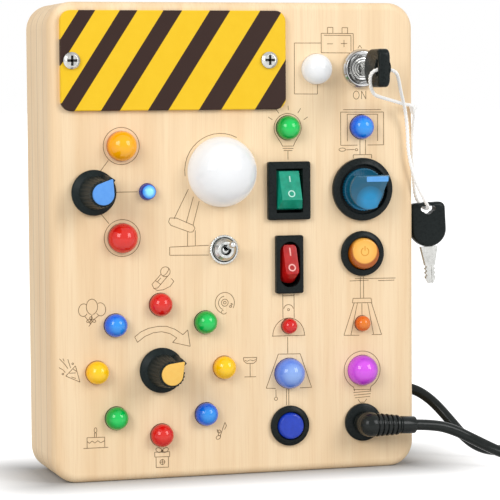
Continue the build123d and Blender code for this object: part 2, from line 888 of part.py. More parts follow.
# ------------------------------------------------------------------ push buttons
def button_housing(bezel_r, bezel_thick, hole_r, body_r, body_t):
    """A push button's bezel and tube, closed by a floor that guides the stem."""
    edge = bezel_thick / 3
    case = turned(
        (0, 0),
        (bezel_r, 0),
        (bezel_r, bezel_thick - edge),
        (bezel_r - 2 * edge, bezel_thick),
        (0, bezel_thick),
    )
    case += disc(body_r, -body_t, 0)
    case -= disc(hole_r, button_floor_t - body_t, bezel_thick + 1)
    return case - disc(button_stem_r + running_gap, -body_t, button_floor_t - body_t)


def button_cap(cap_radius, disc_radius, side, top, foot, body_t):
    """A button's cap with its bevelled top and the stem below it."""
    cap = turned(
        (0, foot),
        (cap_radius, foot),
        (cap_radius, side),
        (disc_radius, top - button_bevel),
        (disc_radius - button_bevel, top),
        (0, top),
    )
    return cap + disc(button_stem_r, -body_t - button_stem_out, foot)


def button_spring(foot, body_t):
    """The return spring between the housing's floor and the cap."""
    low = button_floor_t - body_t + spring_end_gap
    return coil(spring_mean_r, spring_wire_r, low, foot - spring_end_gap, spring_turns)


# ------------------------------------------------------------------ key lock and keys
def lock_housing():
    """The lock's bright ring and its barrel, bored for the rotor."""
    bore = rotor_r + running_gap
    floor = lock_floor_t - lock_barrel_t
    case = turned(
        (bore, floor),
        (bore, rotor_top),
        (bore + lock_lip, lock_ring_t),
        (lock_ring_top_r, lock_ring_t),
        (lock_ring_r, lock_ring_t / 2),
        (lock_ring_r, 0),
        (lock_barrel_r, 0),
        (lock_barrel_r, floor),
    )
    return case + disc(lock_barrel_r, -lock_barrel_t, floor)


def lock_rotor():
    """The turning core with its keyway upright."""
    rotor = disc(rotor_r, rotor_top - rotor_t, rotor_top)
    return rotor - block(keyway_w, keyway_h, rotor_top - keyway_depth, rotor_top + 1)


def key_bow():
    """The key's plastic bow in the plane of the blade, with its string slot."""
    half = bow_w / 2
    outline = make_face(Polyline((half, 0), (half, bow_length), (-half, bow_length), (-half, 0), close=True))
    feet = outline.vertices().sort_by(Axis.Y)[:2]
    outline = fillet(feet, bow_foot_corner)
    tops = outline.vertices().sort_by(Axis.Y)[-2:]
    outline = fillet(tops, bow_outer_corner)
    bow = extrude(Plane.YZ * outline, bow_t / 2, both=True)
    sides = bow.faces().sort_by(Axis.X)
    bow = fillet(sides[0].edges() + sides[-1].edges(), bow_edge_r)
    slot = Pos(0, bow_length - bow_slot_inset) * SlotOverall(bow_slot_h, bow_slot_w)
    slot = extrude(Plane.YZ * slot, bow_t, both=True)
    pocket = block(tongue_t + 2 * running_gap, tongue_w + 2 * running_gap, 0, tongue_length + running_gap)
    return Pos(0, 0, bow_foot) * (bow - slot - pocket)


def key_blade():
    """The flat blade: wide root, cut edges, rounded tip, and a tongue inside the bow."""
    neck = -blade_taper
    tip = -blade_length
    outline = make_face(Polyline(
        (blade_root_half, 0),
        (blade_half, neck),
        (blade_half, tip + blade_half),
        (blade_tip_flat, tip),
        (-blade_tip_flat, tip),
        (-blade_half, tip + blade_half),
        (-blade_half, neck),
        (-blade_root_half, 0),
        close=True,
    ))
    blade = extrude(Plane.YZ * outline, blade_t / 2, both=True)
    for rise in bitting:
        for side in (-1, 1):
            notch = Location((0, side * blade_half, tip + blade_half + rise), (0, 90, 0))
            blade -= notch * Cylinder(bitting_r, 2 * blade_t)
    for side in (-1, 1):
        groove = block(2 * blade_groove_t, blade_groove_w, tip - 1, neck)
        blade -= Pos(side * blade_t / 2, 0, 0) * groove
    return Pos(0, 0, bow_foot) * (blade + block(tongue_t, tongue_w, 0, tongue_length))


# ------------------------------------------------------------------ plug, jack and grommet
def dc_jack():
    """The power jack: flange, body, bore and centre pin."""
    jack = disc(jack_body_r, -jack_body_t, 0)
    edge = jack_flange_t / 4
    jack += turned(
        (0, 0),
        (jack_flange_r, 0),
        (jack_flange_r, jack_flange_t - edge),
        (jack_flange_r - 2 * edge, jack_flange_t),
        (0, jack_flange_t),
    )
    jack -= disc(jack_bore_r, -jack_bore_depth, jack_flange_t + 1)
    return jack + disc(jack_pin_r, -jack_bore_depth, jack_pin_top)


def dc_plug_body():
    """The moulded elbow plug: round hub and a tapered arm with strain-relief cuts."""
    foot = jack_flange_t + seat_gap
    hub = disc(plug_hub_r, foot, plug_hub_top)
    hub = fillet(hub.edges().sort_by(Axis.Z)[-1], plug_hub_edge_r)
    arm = Cone(plug_arm_root_r, plug_arm_end_r, plug_arm_length, align=UP)
    for rib in range(plug_rib_count):
        low = plug_rib_first + rib * plug_rib_pitch
        radius = plug_arm_root_r + (plug_arm_end_r - plug_arm_root_r) * low / plug_arm_length
        ring = disc(2 * radius, low, low + plug_rib_w) - disc(radius - plug_rib_cut, low, low + plug_rib_w)
        arm -= ring & block(4 * radius, 4 * radius, low, low + plug_rib_w)
    arm = Location((0, 0, plug_arm_axis), (0, 90, 0)) * arm
    return hub + arm


def dc_plug_barrel():
    """The plug's metal sleeve, from the hub down into the jack."""
    top = jack_flange_t + seat_gap
    radius = jack_bore_r - running_gap
    return disc(radius, top - barrel_length, top) - disc(barrel_bore_r, top - barrel_length, top)


def cable_grommet():
    """The rubber grommet in the right wall, drawn along its bore with its flange outside."""
    grommet = turned(
        (0, -wall),
        (grommet_neck_r, -wall),
        (grommet_neck_r, 0),
        (grommet_flange_r, 0),
        (grommet_flange_r, grommet_flange_t),
        (grommet_neck_r, grommet_flange_t),
        (grommet_nose_r, grommet_flange_t + grommet_nose_t),
        (0, grommet_flange_t + grommet_nose_t),
    )
    return grommet - disc(cable_r + running_gap, -wall - 1, 2 * wall)


# ------------------------------------------------------------------ batteries and electronics
box_inner_w = cell_length + contact_spring_length + 2 * contact_t
box_inner_h = (cell_count - 1) * cell_pitch + 2 * (cell_r + box_side)
box_depth = 2 * cell_r + box_room
box_z = board_h - wall - box_edge_gap - box_wall - box_inner_h / 2
door_w = box_inner_w + 2 * door_rim
door_h = box_inner_h + door_rim + door_rim_top
door_shift = (door_rim_top - door_rim) / 2
door_screw_place = (box_x, box_z - box_inner_h / 2 - door_rim / 2)
circuit_low = back_t - board_t
circuit_high = circuit_low + circuit_t
bosses = [
    (circuit_x + across * (circuit_w / 2 - boss_inset), circuit_z + up * (circuit_h / 2 - boss_inset))
    for across in (-1, 1)
    for up in (-1, 1)
]
box_floor = back_inner + box_depth
cell_axis = box_floor - cell_r - running_gap
sockets = [
    (circuit_x - circuit_w * 0.25, circuit_z + circuit_h * 0.38),
    (circuit_x + circuit_w * 0.42, circuit_z - circuit_h * 0.34),
    (circuit_x + circuit_w * 0.42, circuit_z + circuit_h * 0.3),
    (circuit_x - circuit_w * 0.42, circuit_z + circuit_h * 0.3),
    (circuit_x + circuit_w * 0.2, circuit_z - circuit_h * 0.36),
]


def battery_box():
    """The open tray behind the battery opening."""
    width = box_inner_w + 2 * box_wall
    height = box_inner_h + 2 * box_wall
    tray = plate(width, height, box_corner_r, back_inner, box_floor + box_wall)
    return at(box_x, box_z, tray - block(box_inner_w, box_inner_h, back_inner, box_floor))


def battery_door():
    """The flush door, with a finger groove and its sunk screw hole."""
    door = at(box_x, box_z + door_shift, plate(door_w, door_h, door_corner_r, -board_t, door_t - board_t))
    door -= at(*door_screw_place, disc(door_screw_r + running_gap, -board_t - 1, back_inner))
    head = disc(door_screw_head_r + running_gap, -board_t - 1, door_screw_head_t - board_t)
    door -= at(*door_screw_place, head)
    for step in (-1, 0, 1):
        groove = block(door_grip_w, door_grip_h, -board_t - 1, door_grip_depth - board_t)
        door -= at(box_x, box_z + box_inner_h / 2 - door_grip_inset + step * door_grip_pitch, groove)
    return door


def door_screw():
    """The door's pan screw, its head sunk in the door."""
    head = disc(door_screw_head_r, -board_t, door_screw_head_t - board_t)
    screw = head + disc(door_screw_r, door_screw_head_t - board_t, door_screw_length - board_t)
    length, width, depth = door_screw_slot
    return at(*door_screw_place, screw - block(length, width, -board_t, depth - board_t))


def cell_row():
    """Each battery's middle height, and the side that its nub points to."""
    first = box_z - (cell_count - 1) * cell_pitch / 2
    return [(first + step * cell_pitch, 1 - 2 * (step % 2)) for step in range(cell_count)]


def battery():
    """One cell along x with its nub at the right end."""
    end = cell_length / 2
    shoulder = end - cell_nub_t
    body = turned(
        (0, -end),
        (cell_r - cell_edge, -end),
        (cell_r, cell_edge - end),
        (cell_r, shoulder - cell_edge),
        (cell_r - cell_edge, shoulder),
        (cell_nub_r, shoulder),
        (cell_nub_r, end),
        (0, end),
    )
    return Rot(0, 90, 0) * body


def contacts(y, side):
    """The plate at each end of a cell, and the spring at its flat end."""
    half = box_inner_w / 2
    plates = []
    for end in (-1, 1):
        spot = Pos(box_x + end * (half - contact_t / 2), y, cell_axis)
        plates.append(spot * Box(contact_t, contact_w, contact_w))
    low = half - contact_t - contact_spring_length
    wire = coil(contact_spring_r, contact_wire_r, low + contact_end_gap, half - contact_t, contact_turns)
    spring = Rot(0, 90, 0) * wire
    turn = 0 if side < 0 else 180
    return plates + [Location((box_x, y, cell_axis), (0, 0, turn)) * spring]


def circuit_board():
    """The circuit board and the parts soldered on its front."""
    board = at(circuit_x, circuit_z, plate(circuit_w, circuit_h, circuit_corner_r, circuit_low, circuit_high))
    for x, y in bosses:
        board -= at(x, y, disc(board_screw_r + loose_gap, circuit_low, circuit_high))
    parts = [board]
    parts.append(at(circuit_x, circuit_z, block(chip[0], chip[1], circuit_high, circuit_high + chip[2])))
    for x, y in sockets:
        parts.append(at(x, y, block(socket[0], socket[1], circuit_high, circuit_high + socket[2])))
    tin = disc(capacitor_r, circuit_high, circuit_high + capacitor_t)
    parts.append(at(circuit_x + capacitor_across, circuit_z - capacitor_down, tin))
    return parts


def board_screw():
    """A small pan screw into a boss."""
    foot = circuit_high - board_screw_length
    screw = disc(board_screw_r, foot, circuit_high)
    screw += disc(board_screw_head_r, circuit_high, circuit_high + board_screw_head_t)
    length, width, depth = board_screw_slot
    top = circuit_high + board_screw_head_t
    return screw - block(length, width, top - depth, top)


def harness():
    """Bundles of wire from the sockets to the battery box, jack, selector, upper dial and cable."""
    start = circuit_high + socket[2]
    lift = start + 5
    box_low = box_z - box_inner_h / 2 - box_wall
    grommet_depth = -board_t / 2 - grommet_y
    dial_back = -front_web - dial_body_t
    (battery_x, battery_y), (jack_x, jack_y), (selector_x, selector_y) = sockets[:3]
    (dial_x, dial_y), (cable_x, cable_y) = sockets[3:]
    routes = {
        "battery wires": [
            (battery_x, battery_y, start),
            (battery_x, battery_y, lift),
            (battery_x + 2, battery_y + 10, lift + 3),
            (battery_x + 4, box_low - 16, lift),
            (battery_x + 5, box_low - 7, cell_axis),
            (battery_x + 5, box_low, cell_axis),
        ],
        "jack wires": [
            (jack_x, jack_y, start),
            (jack_x, jack_y, lift),
            (jack_x + 8, jack_y - 8, lift + 1.5),
            (column_4, row_bottom, -jack_body_t - 5),
            (column_4, row_bottom, -jack_body_t),
        ],
        "selector wires": [
            (selector_x, selector_y, start),
            (selector_x, selector_y, start + 3),
            (selector_x + 7, selector_y + 8, start + 2),
            (column_4, row_upper_switches - 3, -selector_body_t - 4.5),
            (column_4, row_upper_switches - 3, -selector_body_t),
        ],
        "dial wires": [
            (dial_x, dial_y, start),
            (dial_x, dial_y, lift - 1),
            (dial_x - 2, dial_y + 9, lift),
            (three_way_x, three_way_z - 4, dial_back - 4.5),
            (three_way_x, three_way_z - 4, dial_back),
        ],
        "cable wires": [
            (cable_points[0][0], grommet_z, grommet_depth),
            (board_w / 2 - wall - 6, grommet_z, grommet_depth),
            (column_4 - 9, grommet_z + 6, grommet_depth),
            (cable_x + 12, cable_y - 4, lift - 1),
            (cable_x, cable_y, lift - 1),
            (cable_x, cable_y, start),
        ],
    }
    return [tube(name, points, wire_r) for name, points in routes.items()]


# ------------------------------------------------------------------ cable and string routes
# These points are in the object's own frame, chosen by hand.
grommet_out = (board_w / 2, grommet_y, grommet_z)
plug_lean = math.radians(plug_turn)
plug_y = -board_t / 2 - plug_arm_axis
arm_end = (
    column_4 + plug_arm_length * math.cos(plug_lean),
    plug_y,
    row_bottom + plug_arm_length * math.sin(plug_lean),
)
arm_lead = 8.0
arm_line = (
    arm_end[0] + arm_lead * math.cos(plug_lean),
    plug_y,
    arm_end[2] + arm_lead * math.sin(plug_lean),
)
cable_points = [
    (68.0, grommet_y, grommet_z),
    (74.5, grommet_y, grommet_z),
    (80.4, 3.5, 25.4),
    (85.6, 0.2, 21.2),
    (90.2, -4.6, 14.8),
    (94.6, -8.6, 8.4),
    (99.4, -11.4, 4.4),
    (106.0, -12.0, 2.6),
    (115.0, -9.6, 2.3),
    (128.0, -6.2, 2.3),
    (142.5, -10.5, 2.3),
    (152.0, -23.4, 2.3),
    (151.2, -39.8, 2.3),
    (140.5, -52.2, 2.3),
    (124.0, -54.5, 2.3),
    (109.5, -47.5, 2.9),
    (99.5, -38.0, 5.2),
    (90.5, -31.5, 10.0),
    (82.5, -29.5, 14.2),
    arm_line,
    arm_end,
]

bow_slot_y = -board_t / 2 - bow_foot - bow_length + bow_slot_inset
bow_slot_z = row_lock
bight_points = [
    (46.0, bow_slot_y + 4.6, bow_slot_z - 6.5),
    (44.6, bow_slot_y + 2.2, bow_slot_z - 3.6),
    (45.4, bow_slot_y, bow_slot_z - 0.8),
    (50.0, bow_slot_y - 0.1, bow_slot_z - 0.3),
    (54.4, bow_slot_y + 0.3, bow_slot_z - 1.2),
    (56.6, bow_slot_y + 3.6, bow_slot_z - 4.2),
    (58.4, bow_slot_y + 7.4, bow_slot_z - 6.4),
]


def beyond(before, end):
    """The point that carries a run as far again past its end."""
    return tuple(2 * last - first for first, last in zip(before, end))


string_points = [
    bight_points[-1],
    beyond(bight_points[-2], bight_points[-1]),
    (62.9, -27.6, 138.8),
    (65.4, -23.8, 134.0),
    (66.6, -22.6, 127.6),
    (66.8, -22.6, 119.8),
    (68.4, -22.4, 112.6),
    (70.8, -22.0, 106.2),
    (74.0, -21.0, 100.8),
    (76.8, -18.8, 97.4),
    (76.9, -11.2, 97.5),
    (74.2, -10.6, 101.4),
    (72.8, -12.6, 107.6),
    (72.4, -15.0, 114.4),
    (72.6, -16.8, 121.0),
    (73.0, -18.2, 127.6),
    (72.6, -20.6, 132.8),
    (69.6, -23.2, 135.9),
    (64.4, -25.4, 137.0),
    (58.4, -29.0, 138.4),
    (52.6, -32.6, 139.6),
    beyond(bight_points[1], bight_points[0]),
    bight_points[0],
]
knot_place = (73.0, -17.8, 126.4)

# ------------------------------------------------------------------ write every node
save("front_panel", front_panel())
save("frame_layers", frame_ring(-front_t - ring_t), frame_ring(-front_t - 2 * ring_t))
save("back_panel", back_panel())
save("back_panel_screws", *[at(x, y, case_screw()) for x, y in case_screws])
save("sign_plate", sign_plate())
save("sign_plate_screws", *[at(x, y, plate_screw()) for x, y in plate_screws])
save("lamp_dome", lamp_dome())
for node in sorted({name for name, *_ in lights}):
    save(node, *[at(x, y, light(radius)) for name, x, y, radius in lights if name == node])

for name, (x, y), turn in zip(("three_way", "eight_way"), dial_places, (three_way_turn, eight_way_turn)):
    save(f"{name}_knob", at(x, y, dial_knob(), turn))
    save(f"{name}_cap", at(x, y, dial_cap(), turn))
    save(f"{name}_shaft", at(x, y, dial_shaft(), turn))
save("dial_switch_bodies", *[at(x, y, dial_body()) for x, y in dial_places])

save("toggle_body", at(toggle_x, toggle_z, toggle_body()))
save("toggle_lever", at(toggle_x, toggle_z, toggle_lever()))

green_opening = Rectangle(green_opening_w, green_opening_h)
green_pins = green_opening_w / 2 + rocker_pin_in + loose_gap
green_housing = rocker_housing(green_bezel_w, green_body_w, green_opening, green_pins)
save("green_rocker_housing", at(column_3, row_upper_switches, green_housing))
save("green_rocker", at(column_3, row_upper_switches, in_housing(green_rocker())))
red_opening = Rot(0, 0, 90) * SlotOverall(red_opening_h, red_opening_w)
red_pins = red_opening_w / 2 + rocker_pin_in + loose_gap
red_housing = rocker_housing(red_bezel_w, red_body_w, red_opening, red_pins)
save("red_rocker_housing", at(column_3, row_red_rocker, red_housing))
save("red_rocker", at(column_3, row_red_rocker, in_housing(red_rocker())))

save("selector_housing", at(column_4, row_upper_switches, selector_housing()))
save("selector_knob", at(column_4, row_upper_switches, selector_knob()))

orange_case = button_housing(orange_bezel_r, orange_bezel_t, orange_hole_r, orange_body_r, orange_body_t)
orange_cap = button_cap(
    orange_cap_r, orange_disc_r, orange_cap_side, orange_cap_top, orange_cap_foot, orange_body_t)
save("orange_button_housing", at(column_4, row_orange_button, orange_case))
save("orange_button_cap", at(column_4, row_orange_button, orange_cap))
save("orange_button_spring", at(column_4, row_orange_button, button_spring(orange_cap_foot, orange_body_t)))
blue_case = button_housing(blue_bezel_r, blue_bezel_t, blue_hole_r, blue_body_r, blue_body_t)
blue_cap = button_cap(blue_cap_r, blue_disc_r, blue_cap_side, blue_cap_top, blue_cap_foot, blue_body_t)
save("blue_button_housing", at(column_3, row_bottom, blue_case))
save("blue_button_cap", at(column_3, row_bottom, blue_cap))
save("blue_button_spring", at(column_3, row_bottom, button_spring(blue_cap_foot, blue_body_t)))

behind = -front_web
washer = disc(toggle_washer_r, 0, toggle_washer_t)
washer -= disc(toggle_bush_r + running_gap, -1, toggle_washer_t + 1)
ring_nut = disc(selector_nut_r, behind - selector_nut_t, behind)
ring_nut -= disc(selector_body_r + running_gap, behind - selector_nut_t - 1, behind + 1)
nuts = [at(x, y, nut(dial_nut_flats, dial_bush_r, 0, dial_nut_t)) for x, y in dial_places]
nuts += [at(toggle_x, toggle_z, washer), at(toggle_x, toggle_z, toggle_nut())]
nuts.append(at(column_4, row_upper_switches, ring_nut))
back_nuts = [
    (column_4, row_orange_button, orange_nut_flats, orange_body_r, button_nut_t),
    (column_3, row_bottom, blue_nut_flats, blue_body_r, button_nut_t),
    (column_4, row_bottom, jack_nut_flats, jack_body_r, jack_nut_t),
    (column_4, row_lock, lock_nut_flats, lock_barrel_r, lock_nut_t),
]
nuts += [at(x, y, nut(flats, bore, behind - thick, behind)) for x, y, flats, bore, thick in back_nuts]
save("panel_nuts", *nuts)

save("lock_housing", at(column_4, row_lock, lock_housing()))
save("lock_rotor", at(column_4, row_lock, lock_rotor()))
save("key_bow", at(column_4, row_lock, key_bow()))
save("key_blade", at(column_4, row_lock, key_blade()))
spare_up = Vector(-math.sin(math.radians(spare_lean)), 0, math.cos(math.radians(spare_lean)))
spare_foot = Vector(*spare_slot) - spare_up * (bow_foot + bow_length - bow_slot_inset)
spare_plane = Plane(origin=spare_foot, x_dir=(0, 1, 0), z_dir=spare_up)
save("spare_key_bow", key_bow(), where=spare_plane)
save("spare_key_blade", key_blade(), where=spare_plane)

save("dc_jack", at(column_4, row_bottom, dc_jack()))
save("dc_plug_body", at(column_4, row_bottom, dc_plug_body(), plug_turn))
save("dc_plug_barrel", at(column_4, row_bottom, dc_plug_barrel()))
save("cable_grommet", cable_grommet(), where=Location(grommet_out, (0, 90, 0)))
save("dc_cable", tube("dc_cable", cable_points, cable_r), where=WORLD)
save("key_string_bight", tube("key_string_bight", bight_points, string_r), where=WORLD)
knotted_string = tube("key_string", string_points, string_r) + Pos(*knot_place) * Sphere(knot_r)
save("key_string", knotted_string, where=WORLD)

save("battery_box", battery_box())
save("battery_door", battery_door())
save("door_screw", door_screw())
facing = {1: 0, -1: 180}
cells = []
for y, side in cell_row():
    place = (box_x + side * contact_spring_length / 2, y, cell_axis)
    cells.append(Location(place, (0, 0, facing[side])) * battery())
save("batteries", *cells)
save("battery_contacts", *[piece for y, side in cell_row() for piece in contacts(y, side)])
save("circuit_board", *circuit_board())
save("board_screws", *[at(x, y, board_screw()) for x, y in bosses])
save("wiring_harness", *harness())
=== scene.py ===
"""Dresses a wooden busy board: its finishes, lights, dials, switches, keys, string, plug and cable.

Lengths are in millimetres and angles in degrees, unless a docstring says metres or radians.
"""
from __future__ import annotations

import json
import logging
import math
import sys
from dataclasses import dataclass
from enum import Enum
from typing import Protocol

import bmesh
import bpy
import numpy as np
from mathutils import Matrix

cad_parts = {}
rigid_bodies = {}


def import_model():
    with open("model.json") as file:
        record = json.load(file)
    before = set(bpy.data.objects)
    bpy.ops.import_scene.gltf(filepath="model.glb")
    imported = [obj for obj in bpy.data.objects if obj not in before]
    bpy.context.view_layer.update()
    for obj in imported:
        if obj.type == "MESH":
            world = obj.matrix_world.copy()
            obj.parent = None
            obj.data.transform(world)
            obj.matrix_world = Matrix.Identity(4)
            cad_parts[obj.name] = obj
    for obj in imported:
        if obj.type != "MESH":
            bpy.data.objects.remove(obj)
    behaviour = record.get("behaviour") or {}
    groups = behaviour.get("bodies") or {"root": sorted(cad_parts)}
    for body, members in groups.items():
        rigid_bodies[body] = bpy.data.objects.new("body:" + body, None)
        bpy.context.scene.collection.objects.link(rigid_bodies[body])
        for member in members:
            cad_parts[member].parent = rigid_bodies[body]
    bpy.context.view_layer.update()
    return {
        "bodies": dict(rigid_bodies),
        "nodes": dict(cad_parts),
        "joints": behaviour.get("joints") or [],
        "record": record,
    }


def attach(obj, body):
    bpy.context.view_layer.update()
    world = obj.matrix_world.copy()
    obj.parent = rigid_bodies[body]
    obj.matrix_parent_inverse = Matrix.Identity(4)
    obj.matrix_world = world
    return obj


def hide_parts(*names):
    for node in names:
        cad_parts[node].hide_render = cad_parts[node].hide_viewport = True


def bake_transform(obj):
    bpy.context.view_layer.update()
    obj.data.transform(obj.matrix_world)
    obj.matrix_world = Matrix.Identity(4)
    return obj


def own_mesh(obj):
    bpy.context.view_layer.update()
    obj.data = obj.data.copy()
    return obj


log = logging.getLogger("busy_board")

MM = 0.001
FACE_Y = -20.0  # the front face along the frame's Y
Points = np.ndarray
Stroke = Points
Pair = tuple[float, float]
Place = Pair  # right and up on the face
Triple = tuple[float, float, float]
Colour = Triple
Socket = bpy.types.NodeSocket


# ---------------------------------------------------------------- shapes worked out on grids
def stand(points: Points) -> Points:
    """Carry face coordinates to the frame: right becomes X, up becomes Z and out becomes -Y.

    Args:
        points: (..., 3) array of right, up and out of the face.

    Returns:
        The same points in the frame, in metres.
    """
    right, up, out = np.moveaxis(points, -1, 0)
    return np.stack([right, FACE_Y - out, up], axis=-1) * MM


def moved(points: Points, right: float, up: float, turn: float = 0.0) -> Points:
    """Turn points about the out axis and move them over the face.

    Args:
        points: (..., 2 or 3) array of right, up and perhaps out.
        right: how far they move right.
        up: how far they move up.
        turn: the angle from right towards up.

    Returns:
        An array of the same shape.
    """
    angle = math.radians(turn)
    x, y, *out = np.moveaxis(points, -1, 0)
    return np.stack([
        right + x * math.cos(angle) - y * math.sin(angle),
        up + x * math.sin(angle) + y * math.cos(angle),
        *out,
    ], axis=-1)


def leaned(points: Points, lean: float, right: float, up: float, out: float) -> Points:
    """Lean points about the right axis, and move them.

    Args:
        points: (..., 3) array of right, up and out.
        lean: the angle, positive where it tips the out axis down.
        right: how far they move right.
        up: how far they move up.
        out: how far they move out.

    Returns:
        An array of the same shape.
    """
    angle = math.radians(lean)
    x, y, z = np.moveaxis(points, -1, 0)
    return np.stack([
        right + x,
        up + y * math.cos(angle) - z * math.sin(angle),
        out + y * math.sin(angle) + z * math.cos(angle),
    ], axis=-1)


def round_angles(count: int) -> Points:
    """Even angles round a full turn, in radians."""
    return np.arange(count) * 2 * math.pi / count


def arc(radius: float, start: float, end: float, count: int) -> Points:
    """Points along a circle about the origin, from one angle to another."""
    angle = np.radians(np.linspace(start, end, count))
    return radius * np.stack([np.cos(angle), np.sin(angle)], axis=-1)


def spun(radius: Points | list, out: Points | list, sides: int = 96) -> Points:
    """Rings about the out axis: at angle a a row's point is (radius cos a, radius sin a, out).

    Args:
        radius: one radius for each row, or rows x sides radii.
        out: one height for each row.
        sides: points round each ring, where the radii don't give them.

    Returns:
        rows x sides x 3 points.
    """
    radius = np.asarray(radius, float)
    if radius.ndim == 1:
        radius = np.repeat(radius[:, None], sides, axis=1)
    angle = round_angles(radius.shape[1])
    height = np.repeat(np.asarray(out, float)[:, None], radius.shape[1], axis=1)
    return np.stack([radius * np.cos(angle), radius * np.sin(angle), height], axis=-1)


def turned(*profile: Place, sides: int = 96) -> Points:
    """Rings of a turned piece from its (radius, out) corners, foot first."""
    radius, out = np.array(profile, float).T
    return spun(radius, out, sides)


def dome_profile(radius: float, base: float, rows: int = 20) -> list[Place]:
    """A quarter circle from the rim of a half ball up to its pole."""
    return [(across, base + rise) for across, rise in arc(radius, 0, 90, rows)]


def softened(profile: list[Place], radius: float, steps: int = 4) -> list[Place]:
    """Round a profile's inner corners: each gives way to a curve between points a radius from it.

    The curve is quadratic: (1 - t)^2 start + 2 t (1 - t) corner + t^2 end. It takes a little less than
    half of a side that is short.

    Args:
        profile: the corners, as (radius, out).
        radius: how far a curve starts from its corner.
        steps: points on each curve.

    Returns:
        The points of the rounded profile.
    """
    share = 1 / 2.2
    points = np.array(profile, float)
    made = [tuple(points[0])]
    for before, here, after in zip(points, points[1:], points[2:]):
        sides = before - here, after - here
        reach = min(radius, *(np.linalg.norm(side) * share for side in sides))
        start, end = (here + side / np.linalg.norm(side) * reach for side in sides)
        t = np.linspace(0, 1, steps)[:, None]
        curve = (1 - t) ** 2 * start + 2 * t * (1 - t) * here + t ** 2 * end
        made += [tuple(point) for point in curve]
    return made + [tuple(points[-1])]


def rounded_rectangle(width: float, height: float, radius: float, steps: int = 8) -> Points:
    """A rectangle's outline, anticlockwise, its corners quarter circles of a radius."""
    signs = np.array([(1, 1), (-1, 1), (-1, -1), (1, -1)])
    middles = signs * np.array([width / 2 - radius, height / 2 - radius])
    starts = (0, 90, 180, 270)
    return np.concatenate([
        middle + arc(radius, start, start + 90, steps) for start, middle in zip(starts, middles)
    ])


def teardrop_radius(angle: Points, radius: float, tip: float) -> Points:
    """Distance to a circle's edge, or to its tangents through a tip on the right axis."""
    touch = math.acos(radius / tip)
    away = np.abs((angle + math.pi) % (2 * math.pi) - math.pi)
    return np.where(away < touch, radius / np.cos(touch - np.minimum(away, touch)), radius)


def around(outline: Points, centre: Points, count: int) -> Points:
    """An outline read again at even angles about a point inside it."""
    x, y = (outline - centre).T
    angle = np.arctan2(y, x) % (2 * math.pi)
    order = angle.argsort()
    marks = round_angles(count)
    reach = np.interp(marks, angle[order], np.hypot(x, y)[order], period=2 * math.pi)
    return centre + reach[:, None] * np.stack([np.cos(marks), np.sin(marks)], axis=-1)


def stacked(outlines: list[Points], out: list[float]) -> Points:
    """Rings from flat outlines, each at its own height."""
    rings = [np.column_stack([ring, np.full(len(ring), level)]) for ring, level in zip(outlines, out)]
    return np.stack(rings)


def tube_frames(path: Points) -> tuple[Points, Points]:
    """Two directions across a path, from the one fixed direction that stays furthest from its tangents.

    The fixed direction is picked from a half ball of tries, rows of them at even heights.
    """
    tangent = np.gradient(path, axis=0)
    tangent /= np.linalg.norm(tangent, axis=1, keepdims=True)
    angle = np.linspace(0, math.pi, 19)[:, None]
    lift = np.linspace(-1, 1, 15)[None, :]
    flat = np.sqrt(1 - lift ** 2)
    tries = np.stack([np.cos(angle) * flat, np.sin(angle) * flat, lift + 0 * angle], axis=-1).reshape(-1, 3)
    fixed = tries[np.abs(tries @ tangent.T).max(axis=1).argmin()]
    first = fixed - (tangent @ fixed)[:, None] * tangent
    first /= np.linalg.norm(first, axis=1, keepdims=True)
    return first, np.cross(tangent, first)


def tube(path: Points, radius: Points | float, sides: int) -> Points:
    """Rings across a path: at angle a the point is path + radius (first cos a + second sin a).

    Args:
        path: rows x 3 points of the centre line.
        radius: one for all, or rows x sides.
        sides: points round each ring.

    Returns:
        rows x sides x 3 points.
    """
    first, second = tube_frames(path)
    angle = round_angles(sides)[None, :, None]
    across = first[:, None] * np.cos(angle) + second[:, None] * np.sin(angle)
    return path[:, None] + across * np.broadcast_to(radius, (len(path), sides))[..., None]


def lengths(path: Points) -> Points:
    """The distance along a path to each of its points."""
    steps = np.linalg.norm(np.diff(path, axis=0), axis=1)
    return np.concatenate([[0.0], np.cumsum(steps)])


def resampled(path: Points, step: float) -> Points:
    """The path's points at even distances, read straight between its own."""
    along = lengths(path)
    marks = np.linspace(0, along[-1], max(2, round(along[-1] / step)))
    return np.stack([np.interp(marks, along, column) for column in path.T], axis=-1)


@dataclass
class Surface:
    """A closed surface of rings, in frame metres: rings follow each other and each closes on itself."""

    rings: Points  # rows x columns x 3 points, anticlockwise seen from the last row
    looped: bool = False  # the last ring joins the first one

    def faces(self, first: int) -> list[list[int]]:
        """Quads between neighbouring rings, with a many-sided face over each open end."""
        rows, columns = self.rings.shape[:2]
        index = first + np.arange(rows * columns).reshape(rows, columns)
        lower = index if self.looped else index[:-1]
        upper = np.roll(index, -1, axis=0) if self.looped else index[1:]
        quads = np.stack([lower, np.roll(lower, -1, 1), np.roll(upper, -1, 1), upper], axis=-1)
        faces = quads.reshape(-1, 4).tolist()
        if not self.looped:
            faces += [index[0][::-1].tolist(), index[-1].tolist()]
        return faces


def on_face(rings: Points, place: Place = (0.0, 0.0), turn: float = 0.0, looped: bool = False) -> Surface:
    """A surface of rings in face coordinates, turned and moved to its place on the face."""
    return Surface(stand(moved(rings, *place, turn)), looped)


def posed(*columns: Points) -> Matrix:
    """A matrix from its three axes and its place."""
    rows = np.eye(4)
    rows[:3] = np.column_stack(columns)
    return Matrix(rows.tolist())


